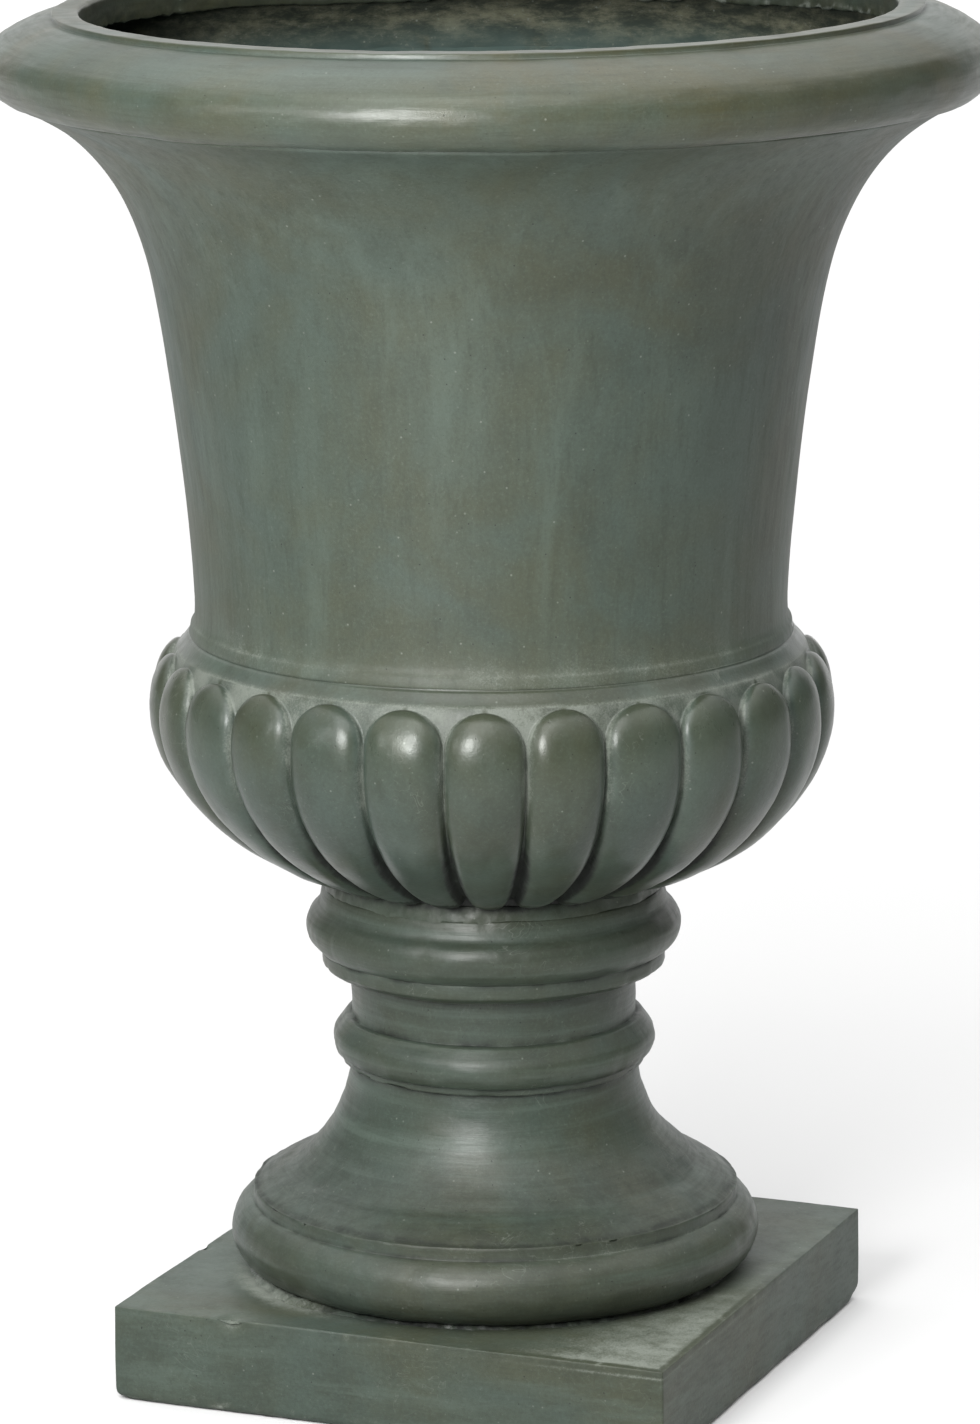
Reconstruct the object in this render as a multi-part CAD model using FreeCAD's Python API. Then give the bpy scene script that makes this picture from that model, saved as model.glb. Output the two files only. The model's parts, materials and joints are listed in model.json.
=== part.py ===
import FreeCAD, Part
import math
import os

# Pedestal urn planter: a square plinth, a turned foot, a gadrooned bowl, a flared bell and a rolled rim.
# Millimetres, +Z up. The origin is the centre of the plinth's underside, on the urn's axis.

# Shared joint sizes
bed_thickness = 1.2          # bedding and bonding layers
bond_gap = 0.4               # gap between two mouldings that are bonded side by side
tie_clearance = 0.5          # radial room of the tie tube in the holes it passes through
overrun = 5.0                # how far a cutting shape runs past the face it opens
level_slack = 0.4            # how far an edge may lie from a level and still count as on it
curve_points = 9             # points that fix a smooth outline
eighth_turn_share = math.sqrt(0.5)    # of a quarter round's radius, at its middle

# Plinth: a square shell, open below
plinth_side = 298.0
plinth_height = 49.4
plinth_wall = 14.0
plinth_deck = 14.0
plinth_margin = 12.6         # of the deck round the pedestal
plinth_corner_round = 1.6
plinth_top_round = 1.2
plinth_foot_round = 3.0
plinth_hollow_round = 10.0

# Pedestal: steps and heights of its mouldings, from the bottom up
torus_foot_set_in = 15.4
torus_head_set_in = 9.6
torus_height = 34.2
fillet_height = 5.0
fillet_batter = 1.0
cyma_lip_step = 0.4
cyma_reach = 22.7
cyma_height = 12.8
flare_height = 54.6
stem_radius = 74.0
ring_fillet_width = 3.6
ring_fillet_height = 3.8
ring_width = 9.0
ring_bead_height = 16.4
ring_bead_set_in = 3.4
ring_cap_height = 4.6
ring_cap_batter = 3.2
neck_set_in = 0.8
neck_height = 23.8
step_width = 14.8
step_round_height = 4.2
step_height = 11.2
upper_torus_width = 22.9
upper_torus_height = 25.0
upper_torus_set_in = 8.6
collar_width = 11.4
collar_height = 5.5
pedestal_wall = 12.0
pedestal_plate = 14.0
cyma_bulge_share = 0.58          # of the cyma's reach at half its height
flare_rise_share = 0.39          # of the flare's height, where its round passes its middle point
flare_reach_share = 0.36         # of the flare's reach at that point
bead_rise_share = 0.56           # of the ring's bead, where it is widest
hollow_stem_share = 0.6          # of the flare's height, where the hollow's stem ends
hollow_foot_share = 0.66         # of the base torus's height, where the hollow's foot ends

# Bowl: an oval body of revolution that carries the gadroons
bowl_radius = 175.2          # over the crest of the gadroons
bowl_foot_step = 0.4         # of the bowl's foot beyond the pedestal's collar
bowl_foot_height = 13.2
bowl_under_depth = 96.0      # from the widest level to the pole of the oval under it
bowl_wall = 13.7             # of the body under the gadroons, at the widest level
groove_depth = 9.5           # of the grooves between gadroons, at the widest level
groove_low_depth = 5.8       # the same at the gadroons' lower ends
shoulder_swell = 10.7        # of the body beyond the middle of its upper oval
shoulder_rise = 36.0
collar_edge_angle = 60.0
collar_slope_width = 6.2
collar_slope_height = 6.3
collar_bead_height = 6.9
collar_bead_width = 3.4
collar_bead_rise_share = 0.58    # of the bead's height at its middle point
collar_bead_swell_share = 0.16   # of the bead's width, by which that point stands in from its foot
bowl_floor = 16.0
bowl_floor_pole_share = 0.976    # level of the floor on the hollow's oval, as a share of its depth
ledge_width = 8.0
rebate_depth = 15.4

# Gadroons
gadroon_count = 26
gadroon_fill_share = 0.97        # of the pitch that a gadroon's width takes
gadroon_tip_angle = 55.0         # on the shoulder, where the round upper tip ends
tip_round_shares = (0.02, 0.12, 0.4, 1.0)     # distances from a tip, as shares of the half width there
tip_swell_share = 1.5                         # half widths over which a lobe swells from its tip
middle_shares = (0.3, 0.55, 0.8)              # places between the two rounded ends
section_points = 8

# Bell: a flared wall, whose outline is given as shares of its height and of its flare
bell_set_in = 0.65           # of the bell's foot behind the collar's bead
bell_height = 266.6
bell_wall = 9.0
bell_spigot_wall = 4.6
bell_height_shares = (0.0, 0.2, 0.4, 0.6, 0.75, 0.85, 0.925, 0.97, 1.0)
bell_flare_shares = (0.0, 0.036, 0.107, 0.197, 0.312, 0.46, 0.65, 0.834, 1.0)
lip_height = 9.0
lip_land_width = 8.0

# Rim: a hollow roll with a flat band on top and a skirt inside the mouth
mouth_radius = 203.8
rim_width = 48.2
rim_overhang = 16.0          # of the roll beyond the bell's lip
rim_height = 43.4
rim_lip_overlap = 1.6        # how far the bell's edge stands below the roll's
rim_wall = 6.5
rim_lip_set_in = 11.0
roll_height_share = 0.34     # level of the widest place
roll_shoulder_set_in = 4.2
roll_shoulder_share = 0.64
crown_set_in = 13.6
crown_share = 0.785
band_width = 13.6
band_groove_width = 3.2
band_groove_depth = 3.0
band_edge_round = 2.0
skirt_drop = 23.0
skirt_wall = 5.0
crown_wall = 8.5
paste_height = 5.0
paste_width = 14.0

# Drain: a flanged tie tube with its seal, washer and nut, and a rubber plug
tube_radius = 16.0
tube_wall = 3.5
tube_end_length = 4.0
flange_width = 12.0
flange_thickness = 6.0
plug_seat_width = 6.5
plug_recess_depth = 3.5
seal_thickness = 3.0
seal_set_in = 0.6
washer_width = 16.0
washer_thickness = 3.0
nut_wall = 7.0
nut_sides = 6
nut_height = 12.0
plug_clearance = 0.4
plug_length = 18.0
plug_taper = 0.9
plug_cap_thickness = 4.5
plug_stalk_radius = 4.5
plug_stalk_height = 5.0
plug_knob_swell = 3.5
plug_knob_height = 6.0

# Radii, each worked out from the piece that carries it
torus_radius = plinth_side / 2 - plinth_margin
foot_radius = torus_radius - torus_foot_set_in
torus_top_radius = torus_radius - torus_head_set_in
cyma_lip_radius = torus_top_radius + cyma_lip_step
cyma_turn_radius = cyma_lip_radius - cyma_reach
ring_fillet_radius = stem_radius + ring_fillet_width
ring_radius = stem_radius + ring_width
neck_radius = stem_radius - neck_set_in
step_radius = neck_radius + step_width
upper_torus_radius = neck_radius + upper_torus_width
collar_radius = neck_radius + collar_width
bowl_foot_radius = collar_radius + bowl_foot_step
body_radius = bowl_radius - groove_depth
bowl_hollow_radius = body_radius - bowl_wall
shoulder_radius = body_radius - shoulder_swell
collar_angle = math.radians(collar_edge_angle)
collar_edge_radius = shoulder_radius + shoulder_swell * math.cos(collar_angle)
bead_foot_radius = collar_edge_radius - collar_slope_width
bead_head_radius = bead_foot_radius - collar_bead_width
bell_radius = bead_head_radius - bell_set_in
rim_radius = mouth_radius + rim_width
bell_lip_radius = rim_radius - rim_overhang
tube_bore_radius = tube_radius - tube_wall
flange_radius = tube_radius + flange_width
plug_recess_radius = tube_bore_radius + plug_seat_width
washer_radius = tube_radius + washer_width
nut_flats = 2 * (tube_radius + nut_wall)
plug_knob_radius = plug_stalk_radius + plug_knob_swell

# Levels, stacked from the floor up
pedestal_base = plinth_height + bed_thickness
torus_top = pedestal_base + torus_height
cyma_base = torus_top + fillet_height
cyma_turn = cyma_base + cyma_height
ring_base = cyma_turn + flare_height
bead_base = ring_base + ring_fillet_height
bead_top = bead_base + ring_bead_height
ring_top = bead_top + ring_cap_height
step_base = ring_top + neck_height
upper_torus_base = step_base + step_height
upper_torus_top = upper_torus_base + upper_torus_height
pedestal_top = upper_torus_top + collar_height
bowl_base = pedestal_top + bed_thickness
body_foot_angle = math.acos(bowl_foot_radius / body_radius)
widest_level = bowl_base + bowl_foot_height + bowl_under_depth * math.sin(body_foot_angle)
collar_edge = widest_level + shoulder_rise * math.sin(collar_angle)
bead_crease = collar_edge + collar_slope_height
bowl_top = bead_crease + collar_bead_height
bell_top = bowl_top + bell_height
rim_base = bell_top + rim_lip_overlap
lip_land = bell_top + lip_height
rim_top = rim_base + rim_height
floor_level = bowl_base + bowl_floor
flange_base = floor_level + seal_thickness
flange_top = flange_base + flange_thickness
recess_level = flange_top - plug_recess_depth
deck_underside = plinth_height - plinth_deck
nut_top = deck_underside - washer_thickness
tube_end = nut_top - nut_height - tube_end_length

# Fits that two pieces share
tie_hole_radius = tube_radius + tie_clearance
spigot_inner_radius = bell_radius - bell_wall
spigot_radius = spigot_inner_radius + bell_spigot_wall
rebate_radius = spigot_radius + bond_gap
ledge_level = bowl_top - rebate_depth
ledge_radius = rebate_radius - ledge_width
rim_lip_radius = bell_lip_radius + bond_gap


def at(radius, height):
    """A point of a turned profile, in the plane of +X and +Z."""
    return FreeCAD.Vector(radius, 0, height)


def straight(*corners):
    """Straight edges from corner to corner."""
    return [Part.LineSegment(a, b).toShape() for a, b in zip(corners, corners[1:])]


def arc(start, middle, end):
    """One round edge through three points."""
    return [Part.Arc(start, middle, end).toShape()]


def smooth(points):
    """A smooth curve through a few points."""
    curve = Part.BSplineCurve()
    curve.interpolate(points)
    return curve


def turned(edges):
    """The solid that a closed profile sweeps about the urn's axis."""
    face = Part.Face(Part.Wire(Part.__sortEdges__(edges)))
    return face.revolve(FreeCAD.Vector(0, 0, 0), FreeCAD.Vector(0, 0, 1), 360)


def ring(inner, outer, low, high):
    """A flat ring between two radii and two levels."""
    corners = [at(inner, low), at(outer, low), at(outer, high), at(inner, high)]
    return turned(straight(*corners, corners[0]))


def under_oval(reach, depth, angle):
    """A point on the oval below the widest level; the angle runs down from that level."""
    return at(reach * math.cos(angle), widest_level - depth * math.sin(angle))


def shoulder_oval(swell, rise, angle):
    """A point on the oval above the widest level; the angle runs up from that level."""
    return at(shoulder_radius + swell * math.cos(angle), widest_level + rise * math.sin(angle))


def steps(start, end):
    """Evenly spaced angles from start to end, enough to fix a smooth outline."""
    return [start + (end - start) * index / (curve_points - 1) for index in range(curve_points)]


def edges_at(solid, level):
    """The edges of a solid that lie at one level."""
    return [
        edge
        for edge in solid.Edges
        if max(abs(edge.BoundBox.ZMin - level), abs(edge.BoundBox.ZMax - level)) < level_slack
    ]


def square_block(side, low, high, corner_round):
    """A square block on the axis with rounded upright corners."""
    block = Part.makeBox(side, side, high - low, FreeCAD.Vector(-side / 2, -side / 2, low))
    upright = [edge for edge in block.Edges if edge.BoundBox.ZLength > (high - low) / 2]
    return block.makeFillet(corner_round, upright)


def make_plinth():
    """Square shell with eased edges, open below, with the tie hole through its deck."""
    block = square_block(plinth_side, 0, plinth_height, plinth_corner_round)
    block = block.makeFillet(plinth_top_round, edges_at(block, plinth_height))
    block = block.makeFillet(plinth_foot_round, edges_at(block, 0))
    hollow_side = plinth_side - 2 * plinth_wall
    hollow = square_block(hollow_side, -overrun, deck_underside, plinth_hollow_round)
    hole = Part.makeCylinder(tie_hole_radius, plinth_height + overrun)
    return block.cut(hollow).cut(hole)


def make_pedestal():
    """Turned hollow foot, open below, with a plate at its head for the tie."""
    torus_middle = at(torus_radius, pedestal_base + torus_height / 2)
    cyma_bulge = (cyma_lip_radius - cyma_turn_radius) * cyma_bulge_share
    cyma_middle = at(cyma_turn_radius + cyma_bulge, cyma_base + cyma_height / 2)
    flare_middle = at(
        stem_radius + (cyma_turn_radius - stem_radius) * flare_reach_share,
        cyma_turn + flare_height * flare_rise_share,
    )
    bead_middle = at(ring_radius, bead_base + ring_bead_height * bead_rise_share)
    bead_foot = at(ring_radius - ring_bead_set_in, bead_base)
    bead_head = at(ring_radius - ring_bead_set_in, bead_top)
    step_lip = at(step_radius, step_base + step_round_height)
    step_turn = (step_radius - neck_radius) * eighth_turn_share
    step_middle = at(neck_radius + step_turn, step_base + step_round_height * (1 - eighth_turn_share))
    upper_foot = at(upper_torus_radius - upper_torus_set_in, upper_torus_base)
    upper_head = at(upper_torus_radius - upper_torus_set_in, upper_torus_top)
    upper_middle = at(upper_torus_radius, upper_torus_base + upper_torus_height / 2)
    foot = at(foot_radius, pedestal_base)
    torus_head = at(torus_top_radius, torus_top)
    cyma_lip = at(cyma_lip_radius, cyma_base)
    cyma_head = at(cyma_turn_radius, cyma_turn)
    flare_head = at(stem_radius, ring_base)
    neck_foot = at(neck_radius, ring_top)
    neck_head = at(neck_radius, step_base)
    bore_inner = neck_radius - pedestal_wall
    base_inner = foot_radius - pedestal_wall
    outside = (
        arc(foot, torus_middle, torus_head)
        + straight(torus_head, at(torus_top_radius - fillet_batter, cyma_base), cyma_lip)
        + arc(cyma_lip, cyma_middle, cyma_head)
        + arc(cyma_head, flare_middle, flare_head)
        + straight(flare_head, at(ring_fillet_radius, ring_base))
        + straight(at(ring_fillet_radius, ring_base), at(ring_fillet_radius, bead_base), bead_foot)
        + arc(bead_foot, bead_middle, bead_head)
        + straight(bead_head, at(bead_head.x - ring_cap_batter, ring_top), neck_foot, neck_head)
        + arc(neck_head, step_middle, step_lip)
        + straight(step_lip, at(step_radius, upper_torus_base), upper_foot)
        + arc(upper_foot, upper_middle, upper_head)
        + straight(upper_head, at(collar_radius, upper_torus_top), at(collar_radius, pedestal_top))
    )
    inside = straight(
        at(collar_radius, pedestal_top),
        at(tie_hole_radius, pedestal_top),
        at(tie_hole_radius, pedestal_top - pedestal_plate),
        at(bore_inner, pedestal_top - pedestal_plate),
        at(bore_inner, cyma_turn + flare_height * hollow_stem_share),
        at(base_inner, pedestal_base + torus_height * hollow_foot_share),
        at(base_inner, pedestal_base),
        foot,
    )
    return turned(outside + inside)


def bowl_body_edges():
    """The outline of the bowl's body between its foot and the collar's edge, under the gadroons."""
    under = [under_oval(body_radius, bowl_under_depth, a) for a in steps(body_foot_angle, 0)]
    over = [shoulder_oval(shoulder_swell, shoulder_rise, a) for a in steps(0, collar_angle)]
    return smooth(under), smooth(over)


def make_bowl_body():
    """Plain turned bowl: body, double collar, rebate for the bell and the hollow with its flat floor."""
    under, over = bowl_body_edges()
    bead_foot = at(bead_foot_radius, bead_crease)
    bead_head = at(bead_head_radius, bowl_top)
    bead_middle = at(
        bead_foot_radius - collar_bead_width * collar_bead_swell_share,
        bead_crease + collar_bead_height * collar_bead_rise_share,
    )
    hollow_depth = (widest_level - floor_level) / bowl_floor_pole_share
    floor_angle = math.asin(bowl_floor_pole_share)
    hollow = smooth(
        [under_oval(bowl_hollow_radius, hollow_depth, a) for a in steps(floor_angle, 0)]
    )
    turn_in = bowl_hollow_radius - ledge_radius
    neck_rise = ledge_level - ledge_width / 2 - widest_level
    neck = smooth(
        [
            at(bowl_hollow_radius - turn_in * (1 - math.cos(a)), widest_level + neck_rise * math.sin(a))
            for a in steps(0, math.pi / 2)
        ]
    )
    edges = straight(
        at(tie_hole_radius, floor_level),
        at(tie_hole_radius, bowl_base),
        at(bowl_foot_radius, bowl_base),
        under.StartPoint,
    )
    edges += [under.toShape(), over.toShape()]
    edges += straight(over.EndPoint, bead_foot)
    edges += arc(bead_foot, bead_middle, bead_head)
    edges += straight(
        bead_head,
        at(rebate_radius, bowl_top),
        at(rebate_radius, ledge_level),
        at(ledge_radius, ledge_level),
        neck.EndPoint,
    )
    edges += [neck.toShape(), hollow.toShape()]
    edges += straight(hollow.StartPoint, at(tie_hole_radius, floor_level))
    return turned(edges)


def gadroon_section(place, outward, half_width, half_depth):
    """Closed oval across a gadroon, with its middle on the bowl's body."""
    across = FreeCAD.Vector(0, 1, 0)
    points = []
    for index in range(section_points):
        turn = 2 * math.pi * index / section_points
        offset = outward * (half_depth * math.cos(turn)) + across * (half_width * math.sin(turn))
        points.append(place + offset)
    oval = Part.BSplineCurve()
    even = [index / section_points for index in range(section_points + 1)]
    oval.interpolate(Points=points, PeriodicFlag=True, Parameters=even)
    return Part.Wire(oval.toShape())


def make_gadroon():
    """One lobe along +X: ovals carried up the bowl's body, full in the middle and rounded at both tips."""
    tip_angle = math.radians(gadroon_tip_angle)
    under = [under_oval(body_radius, bowl_under_depth, a) for a in steps(body_foot_angle, 0)]
    over = [shoulder_oval(shoulder_swell, shoulder_rise, a) for a in steps(0, tip_angle)]
    spine = smooth(under + over[1:]).toShape()
    length = spine.Length
    widest_share = smooth(under).length() / length
    half_pitch = math.tan(math.pi / gadroon_count) * gadroon_fill_share
    low_half = under[0].x * half_pitch
    top_half = over[-1].x * half_pitch
    low_end = low_half * tip_round_shares[-1]
    top_start = length - top_half * tip_round_shares[-1]
    distances = [low_half * share for share in tip_round_shares]
    distances += [low_end + (top_start - low_end) * share for share in middle_shares]
    distances += [length - top_half * share for share in reversed(tip_round_shares)]
    sections = []
    for distance in distances:
        parameter = spine.getParameterByLength(distance)
        place = spine.valueAt(parameter)
        along = spine.tangentAt(parameter)
        outward = FreeCAD.Vector(along.z, 0, -along.x)
        half_width = place.x * half_pitch
        to_tip = min(distance / low_half, (length - distance) / top_half)
        rounding = math.sqrt(1 - max(0, 1 - to_tip) ** 2)
        swelling = math.sqrt(1 - max(0, 1 - to_tip / tip_swell_share) ** 2)
        climb = min(1, distance / (length * widest_share))
        depth = groove_low_depth + (groove_depth - groove_low_depth) * climb
        sections.append(gadroon_section(place, outward, half_width * rounding, depth * swelling))
    return Part.makeLoft(sections, True, False)


def make_bowl():
    """The bowl's body with its ring of gadroons."""
    body = make_bowl_body()
    lobe = make_gadroon()
    lobes = []
    for index in range(gadroon_count):
        copy = lobe.copy()
        copy.rotate(FreeCAD.Vector(0, 0, 0), FreeCAD.Vector(0, 0, 1), 360 * index / gadroon_count)
        lobes.append(copy)
    return body.multiFuse(lobes)


def make_bell():
    """Flared wall: a spigot in the bowl's rebate, the swept outline, and a lip with a flat land."""
    flare = bell_lip_radius - bell_radius
    outline = [
        at(bell_radius + flare * reach, bowl_top + bell_height * rise)
        for rise, reach in zip(bell_height_shares, bell_flare_shares)
    ]
    outer = smooth(outline)
    inner_points = []
    for place in outline[:-1]:
        along = outer.tangent(outer.parameter(place))[0]
        inner_points.append(place + FreeCAD.Vector(-along.z, 0, along.x) * bell_wall)
    inner_points[0] = at(spigot_inner_radius, bowl_top)
    inner = smooth(inner_points)
    spigot_foot = ledge_level + bed_thickness
    edges = [outer.toShape(), inner.toShape()]
    edges += straight(
        outer.EndPoint,
        at(bell_lip_radius, lip_land),
        at(bell_lip_radius - lip_land_width, lip_land),
        inner.EndPoint,
    )
    edges += straight(
        inner.StartPoint,
        at(spigot_inner_radius, spigot_foot),
        at(spigot_radius, spigot_foot),
        at(spigot_radius, bowl_top),
        outer.StartPoint,
    )
    return turned(edges)


def make_rim():
    """Hollow roll: rounded lip, sloping crown, grooved flat band and the skirt inside the mouth."""
    lip = at(rim_radius - rim_lip_set_in, rim_base)
    widest = at(rim_radius, rim_base + rim_height * roll_height_share)
    shoulder = at(rim_radius - roll_shoulder_set_in, rim_base + rim_height * roll_shoulder_share)
    crown = at(rim_radius - crown_set_in, rim_base + rim_height * crown_share)
    band_radius = mouth_radius + band_width
    groove_foot = at(band_radius + band_groove_width, rim_top - band_groove_depth)
    band_edge = at(band_radius, rim_top)
    mouth_edge = at(mouth_radius + band_edge_round, rim_top)
    mouth_turn = at(mouth_radius, rim_top - band_edge_round)
    round_in = band_edge_round * (1 - eighth_turn_share)
    mouth_middle = at(mouth_radius + round_in, rim_top - round_in)
    skirt_foot = at(mouth_radius, rim_top - skirt_drop)
    skirt_back = at(mouth_radius + skirt_wall, rim_top - skirt_drop)
    hollow_roof = rim_top - crown_wall
    roof_inner = at(mouth_radius + skirt_wall, hollow_roof)
    roof_outer = at(band_radius, hollow_roof)
    inner_shoulder = at(shoulder.x - rim_wall, shoulder.z - rim_wall)
    inner_widest = at(rim_radius - rim_wall, widest.z)
    inner_ledge = at(rim_lip_radius + paste_width / 2, lip_land)
    edges = straight(at(rim_lip_radius, lip_land), at(rim_lip_radius, rim_base), lip)
    edges += arc(lip, widest, shoulder)
    edges += arc(shoulder, crown, groove_foot)
    edges += straight(groove_foot, at(band_radius, groove_foot.z), band_edge, mouth_edge)
    edges += arc(mouth_edge, mouth_middle, mouth_turn)
    edges += straight(mouth_turn, skirt_foot, skirt_back, roof_inner, roof_outer, inner_shoulder)
    edges += straight(inner_shoulder, inner_widest, inner_ledge, at(rim_lip_radius, lip_land))
    return turned(edges)


def make_rim_bed():
    """Bead of bonding paste inside the roll, across the joint of the bell's land and the rim's ledge."""
    inner = at(rim_lip_radius - paste_width / 2, lip_land)
    outer = at(rim_lip_radius + paste_width / 2 - bond_gap, lip_land)
    crest = at(rim_lip_radius, lip_land + paste_height)
    return turned(arc(inner, crest, outer) + straight(outer, inner))


def make_drain_tube():
    """Tie tube with a flange on the bowl's floor; the flange is sunk to take the plug's cap."""
    return turned(
        straight(
            at(tube_bore_radius, tube_end),
            at(tube_radius, tube_end),
            at(tube_radius, flange_base),
            at(flange_radius, flange_base),
            at(flange_radius, flange_top),
            at(plug_recess_radius, flange_top),
            at(plug_recess_radius, recess_level),
            at(tube_bore_radius, recess_level),
            at(tube_bore_radius, tube_end),
        )
    )


def make_foot_nut():
    """Hexagon nut under the plinth's deck."""
    corner_radius = nut_flats / 2 / math.cos(math.pi / nut_sides)
    corners = []
    for index in range(nut_sides + 1):
        turn = 2 * math.pi * index / nut_sides
        corners.append(FreeCAD.Vector(corner_radius * math.cos(turn), corner_radius * math.sin(turn), 0))
    prism = Part.Face(Part.makePolygon(corners)).extrude(FreeCAD.Vector(0, 0, nut_height))
    prism.translate(FreeCAD.Vector(0, 0, nut_top - nut_height))
    hole_base = FreeCAD.Vector(0, 0, tube_end)
    return prism.cut(Part.makeCylinder(tube_radius, nut_top, hole_base))


def make_drain_plug():
    """Rubber stopper: tapered shank, flat cap in the flange's recess and a knob to pull it by."""
    shank = tube_bore_radius - plug_clearance
    cap = plug_recess_radius - plug_clearance
    cap_top = recess_level + plug_cap_thickness
    stalk_top = cap_top + plug_stalk_height
    knob_top = stalk_top + plug_knob_height
    edges = straight(
        at(0, knob_top),
        at(0, recess_level - plug_length),
        at(shank - plug_taper, recess_level - plug_length),
        at(shank, recess_level),
        at(cap, recess_level),
        at(cap, cap_top),
        at(plug_stalk_radius, cap_top),
        at(plug_stalk_radius, stalk_top),
    )
    knob_middle = at(plug_knob_radius, stalk_top + plug_knob_height / 2)
    edges += arc(at(plug_stalk_radius, stalk_top), knob_middle, at(plug_stalk_radius, knob_top))
    edges += straight(at(plug_stalk_radius, knob_top), at(0, knob_top))
    return turned(edges)


pieces = {
    "plinth": make_plinth(),
    "plinth_bed": ring(foot_radius - pedestal_wall, foot_radius, plinth_height, pedestal_base),
    "pedestal": make_pedestal(),
    "neck_bed": ring(tie_hole_radius, collar_radius - bed_thickness, pedestal_top, bowl_base),
    "bowl": make_bowl(),
    "bell_bed": ring(spigot_inner_radius, spigot_radius, ledge_level, ledge_level + bed_thickness),
    "bell": make_bell(),
    "rim_bed": make_rim_bed(),
    "rim": make_rim(),
    "drain_tube": make_drain_tube(),
    "floor_seal": ring(tie_hole_radius, flange_radius - seal_set_in, floor_level, flange_base),
    "foot_washer": ring(tie_hole_radius, washer_radius, nut_top, deck_underside),
    "foot_nut": make_foot_nut(),
    "drain_plug": make_drain_plug(),
}

os.makedirs("parts", exist_ok=True)
for name, shape in pieces.items():
    shape.exportStep("parts/" + name + ".step")
    print(f"{name}: {len(shape.Solids)} solid, valid {shape.isValid()}, {shape.Volume / 1000:.1f} cm3")
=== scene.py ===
"""Looks of a pedestal urn planter: cast mouldings with a hand-brushed satin paint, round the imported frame.

Metres, +Z up, the origin at the middle of the plinth's underside. Outlines are drawn in the half plane of
radius and height with the solid on their left, softened as paint softens a casting, and carried round the
axis on numpy grids whose rows run along the outline and whose columns run round the axis.
"""

import json
import logging
import math
from dataclasses import dataclass
from enum import Enum
from typing import Any, Callable, Union

import bpy
import numpy as np
from mathutils import Euler, Matrix, Vector

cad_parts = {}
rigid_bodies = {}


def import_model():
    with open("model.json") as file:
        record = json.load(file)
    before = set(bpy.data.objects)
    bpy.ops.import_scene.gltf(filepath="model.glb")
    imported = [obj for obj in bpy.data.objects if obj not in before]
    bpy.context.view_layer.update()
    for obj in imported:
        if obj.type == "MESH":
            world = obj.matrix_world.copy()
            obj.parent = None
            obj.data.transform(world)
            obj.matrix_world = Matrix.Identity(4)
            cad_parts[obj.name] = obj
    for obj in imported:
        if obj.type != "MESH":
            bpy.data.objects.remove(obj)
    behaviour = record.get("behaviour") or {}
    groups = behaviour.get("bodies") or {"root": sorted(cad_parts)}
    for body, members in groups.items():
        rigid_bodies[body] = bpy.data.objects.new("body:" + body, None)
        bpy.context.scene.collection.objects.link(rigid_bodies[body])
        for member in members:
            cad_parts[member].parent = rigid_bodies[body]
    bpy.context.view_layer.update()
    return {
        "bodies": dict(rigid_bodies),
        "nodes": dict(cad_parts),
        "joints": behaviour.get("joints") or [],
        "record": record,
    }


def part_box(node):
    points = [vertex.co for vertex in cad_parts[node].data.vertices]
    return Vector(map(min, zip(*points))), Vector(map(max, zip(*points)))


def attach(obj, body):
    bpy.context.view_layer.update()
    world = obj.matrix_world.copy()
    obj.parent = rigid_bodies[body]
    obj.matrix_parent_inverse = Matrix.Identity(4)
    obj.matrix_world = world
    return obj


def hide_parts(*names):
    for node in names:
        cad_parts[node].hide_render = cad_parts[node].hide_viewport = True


Array = np.ndarray
Point = tuple[float, float]
Triple = tuple[float, float, float]
Colour = tuple[float, float, float, float]
Focus = Callable[[Array, Array], Array]
LOG = logging.getLogger("urn")
FULL_TURN = 2.0 * math.pi
QUARTER_TURN = 0.5 * math.pi
EIGHTH = math.sqrt(0.5)
FLAT = np.array([1.0, 1.0, 0.0])
UP = np.array([0.0, 0.0, 1.0])
TINY = 1e-12


def smoothstep(value: Array, low: float, high: float) -> Array:
    """Zero at low, one at high, with an S-shaped rise between them; low may be the larger."""
    share = np.clip((value - low) / (high - low), 0.0, 1.0)
    return share * share * (3.0 - 2.0 * share)


def hump(offset: Array, width: float) -> Array:
    """Bell-shaped bump: the exponential of minus half the squared offset over width."""
    return np.exp(-0.5 * (offset / width) ** 2)


def reach_of(points: Array) -> Array:
    """Distance of each place from the axis."""
    return np.hypot(points[..., 0], points[..., 1])


def beside(points: Array, azimuth: float, spread: float) -> Array:
    """One at an azimuth and falling off round the axis as a bell-shaped bump of that spread."""
    turn = np.arctan2(points[..., 1], points[..., 0]) - azimuth
    return hump((turn + math.pi) % FULL_TURN - math.pi, spread)


def tint(red: int, green: int, blue: int) -> Colour:
    """Linear colour of a display colour given in steps of 0 to 255.

    Args:
        red: Red step.
        green: Green step.
        blue: Blue step.

    Returns:
        The colour, opaque.
    """
    share = np.array([red, green, blue]) / 255.0
    linear = np.where(share <= 0.04045, share / 12.92, ((share + 0.055) / 1.055) ** 2.4)
    return (*map(float, linear), 1.0)


def lattice_values(cells: Array, seed: int) -> Array:
    """A fixed random number in -1 to 1 for every whole-number lattice point, from mixed integers.

    Args:
        cells: Lattice points on the last axis.
        seed: Which of many such fields it is.

    Returns:
        One number for each point.
    """
    factors = np.array([73856093, 19349663, 83492791], np.uint32)
    mixed = cells.astype(np.int64).astype(np.uint32) * factors
    key = mixed[..., 0] ^ mixed[..., 1] ^ mixed[..., 2] ^ np.uint32(seed * 40503 + 9176)
    for shift, factor in ((15, 2246822519), (13, 3266489917)):
        key = (key ^ (key >> np.uint32(shift))) * np.uint32(factor)
    return (key ^ (key >> np.uint32(16))) / 2.0**31 - 1.0


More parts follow.
